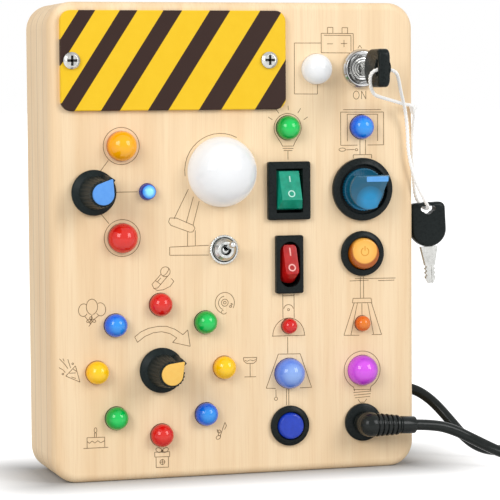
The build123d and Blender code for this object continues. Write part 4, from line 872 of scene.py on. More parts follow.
# Each drawing is a list of strokes across the face and up it.
DRAWINGS: dict[str, list[Stroke]] = {
    # the reading lamp whose head is the big dome
    "desk_lamp": [
        oval(-5.9, 113.3, 13.6, 13.6, 62, 188), line((-18.2, 106.6), (-23.7, 95.9)),
        line((-16.3, 103.8), (-19.1, 94.3)), line((-14.1, 102.2), (-16.5, 93.4)),
        line((-25.3, 96.2), (-22.8, 96.1), (-16.4, 93.3), (-15.8, 92.2), (-16.6, 90.9), (-17.8, 90.8),
             (-25, 93.5), (-25.8, 94.8), (-25.3, 96.2)), line((-18.6, 91), (-18.7, 85.7)),
        line((-15.7, 91.4), (-15.7, 85.7)), line((-10.6, 85.8), (-25.5, 85.5), (-25.5, 82.5), (-10.6, 82.2)),
    ],
    # rings round the dial's two lights and the lines from the dial to its three lights
    "dial_lines": [
        oval(-43.3, 122.75, 6.75), oval(-43.3, 89.25, 6.75), line((-51.3, 113.6), (-48.2, 117.6)),
        line((-45.6, 106), (-37.4, 106)), line((-51.3, 98.4), (-48.2, 94.6)),
    ],
    # the battery with its circuit round the white light, and the lock's marks
    "battery": [
        line((33.5, 163.6), (46.1, 163.5), (46.1, 156.3), (33.5, 156.4), (33.5, 163.6)),
        line((34.6, 162.9), (45.2, 162.8), (45.2, 157)),
        line((36, 163.6), (36, 165.8), (38.1, 165.8), (38.1, 163.6)),
        line((41.7, 163.5), (41.7, 165.7), (43.9, 165.7), (43.9, 163.5)), line((35.8, 159.7), (38.1, 159.7)),
        line((41.2, 159.8), (43.7, 159.8)), line((42.45, 161.1), (42.45, 158.5)),
        line((33.5, 160), (23, 160), (22.9, 141.2), (31.9, 141.1), (32, 144.6)),
        line((47.9, 158), (48.7, 159.1), (49.5, 158)), oval(47.2, 140.6, 1.15, 1.5),
        line((49.3, 139.1), (49.3, 142.1), (51, 139.1), (51, 142.1)),
    ],
    # the bulb round the green light, with rays
    "bulb_with_rays": [
        line((12.7, 132.7), (14.3, 131.7)), line((15.7, 135.6), (16.8, 134.1)),
        line((20.4, 136.9), (20.5, 135.2)), line((25.3, 135.8), (24.2, 134.1)),
        line((28, 132.6), (26.5, 131.6)), oval(20.2, 128.7, 5.3, 5.3, -40, 220),
        line((16.1, 125.3), (17.5, 123.2), (18.2, 121.9)), line((24.3, 125.3), (23, 123.2), (22.4, 121.9)),
        line((18.1, 121.9), (22.5, 121.9)), line((18.2, 121.1), (22.4, 121)),
        line((18.6, 120.3), (22, 120.2)), line((20.25, 120.2), (20.25, 116.9)),
    ],
    # the screen on its stand round the blue light
    "screen": [
        line((41, 121.9), (41, 134.3), (58, 134.2), (58, 121.9)), line((41, 121.9), (47.6, 121.9)),
        line((51.6, 121.9), (58, 121.9)), line((42, 135.2), (57, 135.1)),
        line((43.6, 123.4), (43.6, 133.5), (55.6, 133.4), (55.6, 123.4)), line((48.6, 123.9), (48.6, 118.4)),
        line((50.8, 123.9), (50.8, 118.4)), line((45.9, 116.9), (45.9, 118.3), (53.2, 118.3), (53.2, 116.9)),
        oval(41.6, 120.3, 1.3, 0.6), line((43.2, 120.2), (46.4, 120.3)), oval(47.2, 120.2, 0.5, 0.4),
    ],
    # the lamp that hangs from the red rocker, round the small red light
    "hanging_lamp": [
        line((17.9, 66.2), (22.3, 66.2)), line((17.9, 66.9), (17.9, 57.8)), line((22.3, 66.9), (22.3, 57.8)),
        oval(20.1, 61, 1.9, 1.9, 10, 170), oval(20.1, 61, 0.4), oval(20.1, 51.3, 6.2, 6.6, 0, 180),
        line((13.6, 51.3), (26.6, 51.2)), line((19.7, 50.8), (19.7, 44.6)),
    ],
    # the lamp below the orange button, round the small orange light
    "table_lamp": [
        line((48.5, 72.6), (48.5, 64.4)), line((49.8, 72.6), (49.8, 64.4)), line((44.3, 71), (51.8, 71.1)),
        line((46.4, 71.8), (62.6, 71.6)), line((55.6, 70.8), (62.1, 70.8)),
        line((45.6, 64.4), (52.7, 64.3), (53.1, 62.6), (45.3, 62.7), (45.6, 64.4)),
        line((46, 62.6), (41.9, 50.6), (48, 50.4)), line((47.3, 62.6), (44.7, 50.6)),
        line((51.4, 62.6), (53.7, 50.6)), line((52.9, 62.6), (56.9, 50.4), (53, 50.5)),
        line((49.1, 62.4), (49.1, 58.1)),
    ],
    # the shade round the pale blue light and the bulb round the purple one
    "shade_and_bulb": [
        line((16, 44.5), (24.6, 44.3)), line((16, 44.5), (11.2, 31.9), (14.9, 31.7)),
        line((24.6, 44.3), (29, 31.5), (24.4, 31.5)), line((15, 31.2), (15, 28.4)), oval(15, 27.8, 0.6),
        line((19.1, 31.3), (19.1, 25.2)), line((20, 31.3), (20, 25.2)), oval(49.1, 37.2, 7.2, 7.2, -60, 240),
        line((45.5, 31), (46, 29.9), (46, 29.3)), line((52.7, 31), (52.3, 29.9), (52.3, 29.3)),
        line((45.6, 29.9), (52.7, 29.8)), line((45.6, 28.8), (52.7, 29.1)), line((45.8, 27.8), (52.5, 28.1)),
        line((46.2, 26.8), (52.2, 27.1)), line((47.4, 26.2), (48.2, 25), (50, 25), (50.9, 26.2)),
    ],
    # the curved arrow over the eight-way dial
    "turn_arrow": [
        line((-39, 52.9), (-36.7, 54.7), (-33.8, 55.9), (-30.1, 56.5), (-26.9, 56.4), (-23.7, 55.2),
             (-20.7, 53.1)), line((-20.7, 53.1), (-18.9, 54.8)), line((-18.9, 54.8), (-18, 48.7)),
        line((-18, 48.7), (-24.7, 50.4)), line((-24.7, 50.4), (-23.1, 52)),
        line((-23.1, 52), (-25.7, 53.7), (-28.8, 54.5), (-32, 54.2), (-35.1, 53), (-38, 50.9)),
        line((-38, 50.9), (-39, 52.9)),
    ],
    # three balloons tied together
    "balloons": [
        oval(-54.9, 64.5, 2.1, 2.8, -80, 260), oval(-58.1, 63.4, 1.8, 2.3, 60, 330, -8),
        oval(-51.7, 63.5, 1.9, 2.4, -150, 110, 8), line((-54.9, 61.7), (-55.5, 58.2)),
        line((-57.6, 61.1), (-56.4, 59.6), (-55.5, 58.2)), line((-52.4, 61.2), (-54.2, 59.9), (-55.5, 58.2)),
        oval(-56.2, 59.4, 0.8, 0.5, turn=35), oval(-54.3, 59.4, 0.8, 0.5, turn=-30), oval(-55.3, 60.4, 0.5),
        line((-55.5, 58.2), (-56.2, 57.4)),
    ],
    # a disc with a small note on it
    "disc": [
        oval(-4.6, 64.3, 3.7, 3.9, -30, 250), oval(-4.6, 64.3, 2.4, 2.5, 95, 250), oval(-4.6, 64.4, 1.3),
        oval(-4.6, 64.4, 0.5), oval(-5, 60.9, 1, 0.7, 100, 350), line((-2.2, 64.1), (-2, 62.9)),
        oval(-2.4, 62.9, 0.45, 0.35), line((-2.2, 64.1), (-1.4, 63.6)),
    ],
    # a stemmed glass
    "glass": [
        line((2.4, 43.7), (7.6, 43.6)),
        line((2.4, 43.7), (2.6, 42.4), (3.7, 41.5), (6.3, 41.4), (7.4, 42.3), (7.6, 43.6)),
        line((2.9, 42.7), (3.9, 42.3), (5, 42.8), (6.2, 42.4), (7.2, 42.8)), line((5, 41.4), (5, 36.6)),
        line((2.8, 36.5), (7.3, 36.4)),
    ],
    # a musical note on a slanted staff
    "note": [
        oval(-7.5, 14.4, 0.9, 0.65, turn=30), line((-6.8, 14.8), (-4.9, 19.9)),
        line((-4.9, 19.9), (-4.3, 18.6), (-5.1, 17.2)), line((-8, 17.4), (-7.2, 16.1), (-7.6, 15.2)),
        oval(-7.2, 16.6, 0.7, 0.5),
    ],
    # a box with a lid and a bow
    "gift": [
        line((-31.4, 8.2), (-31.4, 4.4), (-26.7, 4.3), (-26.7, 8.2)),
        line((-31.9, 10.1), (-26.2, 10), (-26.2, 8.2), (-31.9, 8.3), (-31.9, 10.1)),
        oval(-30.3, 10.8, 1.2, 0.8, turn=-25), oval(-27.8, 10.7, 1.2, 0.8, turn=25), oval(-29.05, 10.3, 0.4),
        oval(-29, 6.3, 0.9), line((-30.1, 6.3), (-27.9, 6.3)), line((-29, 7.4), (-29, 5.2)),
    ],
    # a cake with one candle
    "cake": [
        line((-58.7, 12.8), (-49.4, 12.8)), line((-57.3, 12.9), (-57.3, 16.7), (-50.7, 16.6), (-50.7, 12.9)),
        line((-57.3, 15.3), (-56.4, 14.6), (-55.4, 15.4), (-54.4, 14.6), (-53.3, 15.4), (-52.2, 14.6),
             (-50.7, 15.3)), line((-54.5, 16.7), (-54.5, 18.3), (-53.8, 18.3), (-53.8, 16.7)),
        oval(-54.1, 19.3, 0.5, 0.9),
    ],
    # a microphone with its lead
    "microphone": [
        oval(-27.2, 76.5, 1.8), oval(-27.2, 76.5, 1.8, 0.7, 180, 360, 50),
        line((-28.8, 75.7), (-32.3, 72), (-31.6, 70.5), (-30.2, 70.6), (-26.3, 74.9)),
        line((-30.9, 73.3), (-29, 71.9)),
        line((-31.6, 70.5), (-30.3, 69.7), (-28, 69.9), (-25.4, 71.1), (-24, 72.9), (-25, 74)),
        line((-30.2, 72.9), (-28.9, 74.3)),
    ],
    # a party popper with its streamers
    "popper": [
        line((-61.3, 43.2), (-64.9, 39.6), (-59.7, 37.2), (-61.3, 43.2)), line((-63.6, 40.6), (-61.2, 40.6)),
        line((-62.2, 42.1), (-60.7, 41)), line((-62.9, 39.2), (-61.2, 38.6)),
        line((-67.2, 46), (-65.4, 44.1), (-64.1, 42.3)), line((-64.1, 45.7), (-63.1, 42.5)),
        line((-67.4, 42.8), (-65.9, 41.9), (-65.1, 40.9)), line((-65.9, 46), (-65.4, 45)),
        oval(-66, 40.4, 0.3), oval(-62.3, 44, 0.3),
    ],
}


@dataclass
class Drawings:
    """The thin burnt line drawings on the front."""

    width: float = 0.24  # a line's width
    proud: float = 0.03  # its top over the wood
    sunk: float = 0.05  # its foot in the wood

    def strips(self, stroke: Stroke) -> list[Surface]:
        """A stroke's strips, cut at its sharp turns, so that each one keeps its width."""
        steps = np.diff(stroke, axis=0)
        steps /= np.maximum(np.linalg.norm(steps, axis=1, keepdims=True), 1e-9)
        turns = np.flatnonzero((steps[1:] * steps[:-1]).sum(axis=1) < 0.8) + 1
        ends = [0, *turns.tolist(), len(stroke) - 1]
        return [on_face(flat_strip(stroke[first:last + 1], self.width, -self.sunk, self.proud))
                for first, last in zip(ends, ends[1:])]

    def build(self, maker: Maker) -> None:
        """Make every drawing one piece that rides on the case."""
        for name, strokes in DRAWINGS.items():
            strips = [strip for stroke in strokes for strip in self.strips(stroke)]
            maker.piece("line_" + name, "root", BURN, Slot.FACE, *strips)


# ---------------------------------------------------------------- the case, the sign and what is inside
class PlainNodes:
    """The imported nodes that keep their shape: the wooden case and most of what is in it."""

    def build(self, maker: Maker) -> None:
        """Give each node its finish."""
        maker.dress(PINE, "front_panel", "frame_layers", "back_panel")
        maker.dress(STEEL, "back_panel_screws", "door_screw", "board_screws")
        maker.dress(BLACK, "battery_box", "battery_door")
        maker.dress(CELL_WRAP, "batteries")
        maker.dress(CIRCUIT, "circuit_board")
        maker.dress(WIRE, "wiring_harness")
        maker.dress(NICKEL, "battery_contacts", "dial_switch_bodies", "three_way_shaft", "eight_way_shaft",
                    "dc_plug_barrel")
        maker.dress(CHROME, "toggle_body")
        maker.dress(RUBBER, "cable_grommet")


@dataclass
class Sign:
    """The warning plate and its two cross-head screws."""

    rights: Pair = (-61.9, 12.5)  # where the screws are across the face
    up: float = 153.7  # their height on the face
    reach: float = 1.75  # half the length of a bar of the cross
    width: float = 0.86  # the bar's width
    depth: Pair = (2.72, 3.0)  # the bar's foot and top over the face

    def build(self, maker: Maker) -> None:
        """Print the stripes on the plate, ease the screws and lay a cross of painted shade in each head."""
        maker.eased("sign_plate", SIGN, 0.25)
        maker.eased("sign_plate_screws", STEEL, 0.12, 40.0)
        level = line((-self.reach, 0), (0, 0), (self.reach, 0))
        crosses = [on_face(flat_strip(bar, self.width, *self.depth), (right, self.up))
                   for right in self.rights for bar in (level, level[:, ::-1])]
        maker.piece("sign_screw_cross_shade", "root", RECESS_SHADE, Slot.SCREW, *crosses)


# ---------------------------------------------------------------- lights
@dataclass
class Lights:
    """The domed lights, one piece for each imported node."""

    lift: float = 1.0  # the straight part of a lens over the face
    flange: float = 0.9  # how far a light's flange reaches past its lens
    flange_t: float = 1.4  # the flange's thickness
    web: float = 5.0  # the wood's thickness behind the face
    ring: Triple = (-29.2, 40.4, 24.1)  # the middle of the ring of eight lights and its radius
    ring_r: float = 4.25  # the radius of a light on that ring
    upper_r: float = 4.5  # the radius of the two lights at the top
    dial_r: float = 5.5  # the radius of the dial's two big lights
    glow_r: float = 3.0  # the radius of the dial's small light
    round_r: float = 5.65  # the radius of the three big round lights
    small_r: float = 2.9  # the radius of the smallest ones
    # the outer radius, top and foot of the wood drawn up to the dial's lights, and its gap
    collar: tuple[float, float, float, float] = (6.3, 0.03, -1.5, 0.05)

    def on_ring(self, *degrees: float) -> list[tuple[Place, float]]:
        """Lights on the ring, by their angles."""
        right, up, radius = self.ring
        angles = [math.radians(angle) for angle in degrees]
        return [((right + radius * math.cos(angle), up + radius * math.sin(angle)), self.ring_r)
                for angle in angles]

    def lens(self, place: Place, radius: float) -> Surface:
        """A light: its flange behind the wood, its straight side and its dome."""
        back = -self.web - self.flange_t
        rim = radius + self.flange
        profile = [(rim, back), (rim, -self.web), (radius, -self.web), *dome_profile(radius, self.lift)]
        return on_face(turned(*profile, sides=72), place)

    def build(self, maker: Maker) -> None:
        """Make each node's lights in its own colour."""
        high, glow_place = self.lift + self.round_r, (-33.7, 106.0)
        dial_places = (-43.3, 89.25), (-43.3, 122.75)
        # Each lens: its colour, the painted shade at its foot and the painted highlight at its top; the
        # purple one gets more painted highlight on its left.
        red = Lens("red_glass", (0.6, 0.004, 0.004), (0.19, 0.0, 0.002), lit_crown=(0.7, 0.022, 0.012))
        green = Lens("green_glass", (0.0, 0.33, 0.04), (0.0, 0.08, 0.014), lit_crown=(0.003, 0.62, 0.11))
        yellow = Lens("yellow_glass", (0.9, 0.49, 0.0), (0.52, 0.23, 0.0), lit_crown=(0.95, 0.59, 0.004))
        amber = Lens("amber_glass", (0.9, 0.37, 0.0), (0.52, 0.12, 0.0), lit_crown=(0.93, 0.44, 0.0),
                     height=self.lift + self.dial_r)
        blue = Lens("blue_glass", (0.004, 0.11, 0.68), (0.001, 0.014, 0.2), lit_crown=(0.03, 0.33, 0.85))
        pale = Lens("pale_blue_glass", (0.11, 0.22, 0.7), (0.02, 0.055, 0.34), lit_crown=(0.27, 0.43, 0.8),
                    height=high)
        orange = Lens("orange_glass", (0.68, 0.11, 0.002), (0.25, 0.03, 0.001), lit_crown=(0.76, 0.2, 0.008),
                      height=self.lift + self.small_r)
        purple = Lens("purple_glass", (0.29, 0.008, 0.48), (0.085, 0.001, 0.2), lit_crown=(0.64, 0.085, 0.76),
                      height=high, across=0.9, centre=49.1)
        # The small light glows, and its colour is painted bright in the middle and darkened with painted
        # shade at its ring.
        glow = RoundGlow("cyan_glass", (0.24, 0.65, 0.82), (0.06, 0.3, 0.85), 1.5, (0.1, 0.16), 0.0,
                         coat=0.3, glow=0.4, ring=(0.006, 0.022, 0.24), centre=glow_place, radius=self.glow_r)
        sets = [
            ("red_lights", Slot.RED, red,
             [*self.on_ring(90, 270), (dial_places[0], self.dial_r), ((20.2, 54.9), self.small_r)]),
            ("green_lights", Slot.GREEN, green, [*self.on_ring(45, 225), ((20.2, 128.7), self.upper_r)]),
            ("yellow_lights", Slot.YELLOW, yellow, self.on_ring(0, 180)),
            ("blue_lights", Slot.BLUE, blue, [*self.on_ring(315, 135), ((49.1, 128.7), self.upper_r)]),
            ("amber_light", Slot.AMBER, amber, [(dial_places[1], self.dial_r)]),
            ("pale_blue_light", Slot.PALE_BLUE, pale, [((20.2, 37.2), self.round_r)]),
            ("orange_light", Slot.ORANGE, orange, [((49.1, 54.9), self.small_r)]),
            ("purple_light", Slot.PURPLE, purple, [((49.1, 37.2), self.round_r)]),
            ("dial_light", Slot.CYAN, glow, [(glow_place, self.glow_r)]),
            ("white_lights", Slot.WHITE, LAMP_WHITE,
             [((31.5, 150.4), self.round_r), ((-5.4, 112.8), self.small_r)]),
        ]
        for node, slot, finish, lights in sets:
            lenses = [self.lens(*light) for light in lights]
            maker.piece(node + "_lens", "root", finish, slot, *lenses, node=node)
        outer, top, foot, gap = self.collar
        inner = self.dial_r + gap
        collar = turned((outer, foot), (outer, top), (inner, top), (inner, foot))
        collars = [on_face(collar, place, looped=True) for place in dial_places]
        maker.piece("dial_light_collars", "root", PINE, Slot.FACE, *collars)


@dataclass
class LampDome:
    """The big white half ball, a thin shell let into the wood."""

    centre: Place = (-5.4, 112.8)  # its middle on the face
    radius: float = 13.0  # its outer radius
    wall: float = 1.5  # its wall's thickness
    seat: float = 1.5  # how deep it is let in

    def build(self, maker: Maker) -> None:
        """Turn the shell: up the outside to the pole and back down the inside."""
        inner = self.radius - self.wall
        profile = [(self.radius, -self.seat), *dome_profile(self.radius, 0.0, 32),
                   *dome_profile(inner, 0.0, 24)[::-1], (inner, -self.seat)]
        maker.piece("lamp_dome_shell", "root", LAMP_WHITE, Slot.WHITE,
                    on_face(turned(*profile, sides=128), self.centre, looped=True), node="lamp_dome")


# ---------------------------------------------------------------- dials, switches and buttons
@dataclass
class Dial:
    """A pointer knob with its coloured cap; its pointer lies along the right axis before it is turned."""

    name: str  # the name that its nodes share
    place: Place  # its axis on the face
    turn: float  # how far its pointer is turned
    cap: Finish  # the cap's finish
    slot: Slot  # the cap's slot
    grip_r: Pair = (6.1, 1.25)  # the grip's radius at its foot and how much less it is at its top
    grip_z: Pair = (3.4, 12.25)  # the grip's foot over the face and its height
    top: float = 16.0  # the knob's top over the face
    ribs: int = 22  # grooves round the grip
    rib_depth: float = 0.3  # their depth
    fin_half: float = 1.2  # half the width of the ridge under the pointer
    fin_reach: Pair = (7.5, 0.8)  # the ridge's reach at its foot and how much less it is at its top
    # the cap's round radius, its tip's distance, and where the tip is cut short
    drop: Triple = (3.95, 6.5, 6.3)

    def fin(self, angle: Points, reach: float) -> Points:
        """Distance to the edge of the ridge under the pointer: its round end or its flat sides."""
        side = self.fin_half / np.maximum(np.abs(np.sin(angle)), 1e-6)
        return np.where(np.cos(angle) > 0, np.minimum(side, reach / np.maximum(np.cos(angle), 0.2)), 0.0)

    def knob(self) -> Points:
        """The knob's rings: hollow foot, skirt, fluted grip with its ridge, and flat top.

        Over the grip the radius is base - depth (1/2 - 1/2 cos(ribs angle))^3/2, or the ridge's where that
        is more; the grooves deepen over the first part of the grip.
        """
        foot = [(0.5, 2.9), (6.1, 2.9), (6.1, 0.6), (8.0, 0.6), (8.22, 0.68), (8.3, 0.9), (8.3, 1.75),
                (8.2, 1.95), (7.9, 2.15), (7.0, 2.75), (6.5, 3.1)]
        sides = self.ribs * 16
        angle = round_angles(sides)
        groove = (0.5 - 0.5 * np.cos(self.ribs * (angle + math.pi / self.ribs))) ** 1.5
        levels = np.linspace(0, 1, 16)
        rows = []
        for level in levels:
            depth = self.rib_depth * min(1.0, 0.15 + 6 * level)
            plain = self.grip_r[0] - self.grip_r[1] * level - depth * groove
            rows.append(np.maximum(plain, self.fin(angle, self.fin_reach[0] - self.fin_reach[1] * level)))
        rows += [rows[-1] - 0.1, rows[-1] - 0.35, np.full(sides, 1.0)]
        heights = [*(self.grip_z[0] + self.grip_z[1] * levels), self.top - 0.12, self.top, self.top]
        return np.concatenate([turned(*foot, sides=sides), spun(rows, heights)])

    def pointer_cap(self) -> Points:
        """The flat drop-shaped cap: rings of the drop's outline, let in towards the top edge."""
        radius, tip, cut = self.drop
        outline = np.minimum(teardrop_radius(round_angles(240), radius, tip), cut)
        insets = np.array([0.02, 0.0, 0.0, 0.05, 0.16, 0.32])
        rings = np.concatenate([outline - insets[:, None], np.full((1, 240), 0.8)])
        return spun(rings, self.top + np.array([0.0, 0.05, 0.7, 0.87, 0.97, 1.0, 1.0]))

    def build(self, maker: Maker) -> None:
        """Make the knob and its cap on the dial's body."""
        body = f"{self.name}_dial"
        maker.piece(f"{self.name}_grip", body, KNOB_BLACK, Slot.BLACK,
                    on_face(self.knob(), self.place, self.turn), node=f"{self.name}_knob")
        maker.piece(f"{self.name}_pointer", body, self.cap, self.slot,
                    on_face(self.pointer_cap(), self.place, self.turn), node=f"{self.name}_cap")


@dataclass
class Toggle:
    """The small metal toggle switch: knurled washer, domed nut and lever."""

    place: Place = (-4.9, 84.1)  # its axis on the face
    lean: float = 13.0  # how far the lever hangs down
    pivot: float = 1.5  # the lever's pivot over the face
    teeth: int = 34  # the number of the washer's teeth
    tooth: float = 0.13  # half their depth
    rim: float = 5.36  # the washer's radius
    bore: float = 3.9  # the radius of its hole
    thick: float = 0.96  # its thickness
    ball: float = 1.9  # the radius of the lever's ball
    tip: Pair = (1.25, 11.0)  # the radius of its round tip and the tip's distance from the pivot

    def washer(self) -> Points:
        """A flat ring whose rim is a wave of small teeth, square at their tops and feet."""
        angle = round_angles(self.teeth * 8)
        rim = self.rim + self.tooth * np.clip(2.2 * np.cos(self.teeth * angle), -1, 1)
        bore = np.full(len(angle), self.bore)
        rows = [bore, rim - 0.15, rim, rim, rim - 0.25, bore]
        return spun(rows, [0.0, 0.0, 0.15, 0.8, self.thick, self.thick])

    def lever(self) -> Points:
        """The ball, the rod that widens towards its end, and the round tip."""
        radius, reach = self.tip
        rod = [(0.76, 2.2), (0.86, 4.4), (1.22, 10.6)]
        profile = [*arc(self.ball, -88, 62, 14), *rod, *(arc(radius, 4, 89, 12) + np.array([0.0, reach]))]
        return leaned(turned(*profile, sides=48), -self.lean, *self.place, self.pivot)

    def build(self, maker: Maker) -> None:
        """Make the nuts, the washer with a dark ring of painted shade round the nut, and the lever."""
        maker.eased("panel_nuts", NUT, 0.12)
        washer = on_face(self.washer(), self.place, looped=True)
        maker.piece("toggle_washer", "root", NUT, Slot.CHROME, washer)
        # painted shade: a dark ring where the washer meets the nut
        groove = on_face(turned((4.2, 0.9), (4.7, 0.9), (4.7, 1.0), (4.2, 1.0)), self.place, looped=True)
        maker.piece("toggle_shade_ring", "root", RECESS_SHADE, Slot.CHROME, groove)
        lever = Surface(stand(self.lever()))
        maker.piece("toggle_rod", "toggle", CHROME, Slot.CHROME, lever, node="toggle_lever")


@dataclass
class Rocker:
    """A rocker switch in its bezel, with its two printed marks."""

    name: str  # the colour that its nodes share
    place: Place  # its middle on the face
    tint: Finish  # the rocker's finish
    slot: Slot  # the rocker's slot
    mark: Finish  # the marks' finish
    bar: Pair  # the bar's middle height and its length
    ring: Pair  # the ring's middle height and its radius
    stroke: float  # the marks' line width
    lean: float = 22.0  # how far the pressed face leans
    pivot: float = -1.5  # the rocker's pivot over the face of the board
    face: float = 5.2  # the rocker's flat face over its pivot

    def build(self, maker: Maker) -> None:
        """Ease the bezel and the rocker and print the marks on its flat face."""
        maker.eased(f"{self.name}_rocker_housing", BLACK, 0.25)
        maker.eased(f"{self.name}_rocker", self.tint, 0.4)
        middle, length = self.bar
        bar = line((0, middle - length / 2), (0, middle), (0, middle + length / 2))
        strips = [flat_strip(stroke, self.stroke, self.face - 0.05, self.face + 0.02)
                  for stroke in (bar, oval(0, *self.ring))]
        marks = [Surface(stand(leaned(strip, -self.lean, *self.place, self.pivot))) for strip in strips]
        maker.piece(f"{self.name}_rocker_marks", f"{self.name}_switch", self.mark, self.slot, *marks)


@dataclass
class Selector:
    """The blue selector: a fluted disc, a flag-shaped grip on it and the pale bar printed on its top."""

    place: Place = (49.1, 105.4)  # the selector's axis on the face
    disc_r: float = 7.9  # the fluted disc's radius
    disc_top: float = 3.6  # the disc's height over the face
    flutes: int = 44  # the number of flutes
    flute: float = 0.11  # half their depth
    grip_r: float = 7.25  # the radius of the grip's round side
    grip_top: float = 9.0  # the grip's height over the face
    tip: tuple[Place, Place] = ((8.15, 4.95), (7.95, 5.4))  # the two corners of the grip's tip
    bar: Triple = (8.5, 1.95, 0.3)  # the printed bar's length, width and corner radius
    bar_place: Place = (3.2, 4.0)  # the bar's middle from the axis

    def disc(self) -> Points:
        """The fluted disc: its rim is a wave, its top dips a little towards the middle."""
        rim = self.disc_r + self.flute * np.cos(self.flutes * round_angles(self.flutes * 8))
        rows = [rim, rim, rim - 0.12, rim - 0.45, np.full_like(rim, 6.4), np.full_like(rim, 0.4)]
        return spun(rows, [0.3, *(self.disc_top - np.array([0.5, 0.15, 0.0, 0.35, 0.4]))])

    def flag(self) -> Points:
        """The grip's outline: a round side below, a straight top edge to the tip and a cut back from it."""
        low, high = self.tip
        round_side = arc(self.grip_r, 132, 296, 90)
        cut = np.linspace(round_side[-1], low, 60)[1:]
        return np.concatenate([round_side, cut, np.linspace(high, round_side[0], 80)])

    def build(self, maker: Maker) -> None:
        """Ease the bezel, make disc and grip and lay the bar on the grip's top."""
        maker.eased("selector_housing", BLACK, 0.3)
        # Clear blue that glows with painted light round a point below the axis, with painted shade towards
        # its edge.
        tint = RoundGlow("selector_tint_painted_glow", (0.0, 0.22, 0.46), (0.001, 0.13, 0.26), 2.2, (0.08, 0.14), 0.02,
                         coat=0.5, glow=0.12, ring=(0.003, 0.085, 0.155), centre=(49.4, 101.4), radius=6.6)
        outline = around(self.flag(), np.zeros(2), 360)
        scales = [1.0, 1.0, 0.985, 0.955, 0.45, 0.02]
        levels = [self.disc_top - 0.6, *(self.grip_top - np.array([0.35, 0.1, 0.0, 0.0, 0.0]))]
        grip = stacked([outline * scale for scale in scales], levels)
        shapes = [on_face(rings, self.place) for rings in (self.disc(), grip)]
        maker.piece("selector_grip", "selector", tint, Slot.BLUE_CLEAR, *shapes, node="selector_knob")
        outline = rounded_rectangle(*self.bar) + np.array(self.bar_place)
        bar = stacked([outline] * 3, self.grip_top + np.array([-0.1, 0.06, 0.07]))
        maker.piece("selector_bar", "selector", BLUE_BAR, Slot.BLUE_CLEAR, on_face(bar, self.place))


@dataclass
class PushButton:
    """A push button: black bezel, round cap with a raised disc, and the spring behind it."""

    name: str  # the colour that its nodes share
    place: Place  # its middle on the face
    tint: Finish  # the cap's finish
    slot: Slot  # the cap's slot
    profile: list[Place]  # the cap's half section
    travel: float  # how far it is pressed

    def build(self, maker: Maker) -> None:
        """Ease the bezel, turn the cap and ease the spring, on a mesh of its own."""
        maker.eased(f"{self.name}_button_housing", BLACK, 0.3)
        maker.piece(f"{self.name}_cap_disc", f"{self.name}_button", self.tint, self.slot,
                    on_face(turned(*softened(self.profile, 0.5)), self.place), node=f"{self.name}_button_cap")
        spring = maker.eased(f"{self.name}_button_spring", NICKEL)
        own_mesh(spring)


class PowerButton(PushButton):
    """A push button with the power symbol on its cap."""

    def build(self, maker: Maker) -> None:
        """Make the button and lay the symbol's open ring and its bar on the cap."""
        super().build(maker)
        top = self.profile[-1][1]
        symbol = [oval(-0.3, 0.9, 1.5, 1.5, 115, 425), line((-0.3, 1.3), (-0.3, 3.0))]
        strips = [on_face(flat_strip(stroke, 0.34, top - 0.1, top + 0.03), self.place) for stroke in symbol]
        maker.piece(f"{self.name}_power_mark", f"{self.name}_button", ORANGE_MARK, self.slot, *strips)


# ---------------------------------------------------------------- lock, keys, plug and cords
class Route:
    """A cord's line: a smooth spline whose control points are the route's points.

    Attributes:
        path: points along the line, in metres.
    """

    def __init__(self, name: str, *points: Triple) -> None:
        """Make the spline and read the points of its line."""
        places = np.array(points) * MM
        curve = bpy.data.curves.new(name + "_route", "CURVE")
        curve.dimensions = "3D"
        spline = curve.splines.new("NURBS")
        spline.points.add(len(points) - 1)
        spline.points.foreach_set("co", np.column_stack([places, np.ones(len(points))]).ravel())
        spline.order_u = 3
        spline.use_endpoint_u = True
        spline.resolution_u = 24
        holder = bpy.data.objects.new(name + "_route", curve)
        mesh = bpy.data.meshes.new_from_object(holder)
        read = np.empty(len(mesh.vertices) * 3, np.float32)
        mesh.vertices.foreach_get("co", read)
        self.path = read.astype(float).reshape(-1, 3)
        bpy.data.meshes.remove(mesh)
        bpy.data.objects.remove(holder)
        bpy.data.curves.remove(curve)
        log.info("%s: %.1f mm long", name, lengths(self.path)[-1] / MM)

    def rope(self, radius: float, lay: float, step: float = 0.28, sides: int = 18) -> Surface:
        """Three strands twisted together.

        Across the rope the strands are three circles through its middle, so at angle a from a strand's
        own direction the radius is radius cos a, and the pattern turns once for each lay.

        Args:
            radius: the rope's radius.
            lay: the length of one turn of the strands.
            step: the distance from ring to ring.
            sides: points round each ring.

        Returns:
            The rope's surface.
        """
        path = resampled(self.path, step * MM)
        twist = lengths(path) / (lay * MM) * 2 * math.pi
        third = 2 * math.pi / 3
        off = (round_angles(sides)[None, :] - twist[:, None] + third / 2) % third - third / 2
        return Surface(tube(path, radius * MM * np.cos(off), sides))


@dataclass
class Cable:
    """The black cable from the grommet in the right wall round to the plug."""

    radius: float = 2.05  # the cable's radius

    def build(self, maker: Maker) -> None:
        """Sweep the cable along its route; its far end is the plug."""
        route = Route(
            "dc_cable",
            (68, 5, 27), (74.5, 5, 27), (80.4, 3.5, 25.4), (85.6, 0.2, 21.2), (90.2, -4.6, 14.8),
            (94.6, -8.6, 8.4), (99.4, -11.4, 4.4), (106, -12, 2.6), (115, -9.6, 2.3), (128, -6.2, 2.3),
            (142.5, -10.5, 2.3), (152, -23.4, 2.3), (151.2, -39.8, 2.3), (140.5, -52.2, 2.3),
            (124, -54.5, 2.3), (109.5, -47.5, 2.9), (99.5, -38, 5.2), (90.5, -31.5, 10), (82.5, -29.5, 14.2),
            (74.87, -29, 16.43), (66.88, -29, 16.79),
        )
        swept = Surface(tube(resampled(route.path, 0.8 * MM), self.radius * MM, 28))
        cable = maker.piece("cable_tube", "", RUBBER, Slot.CABLE, swept, node="dc_cable")
        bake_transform(cable)


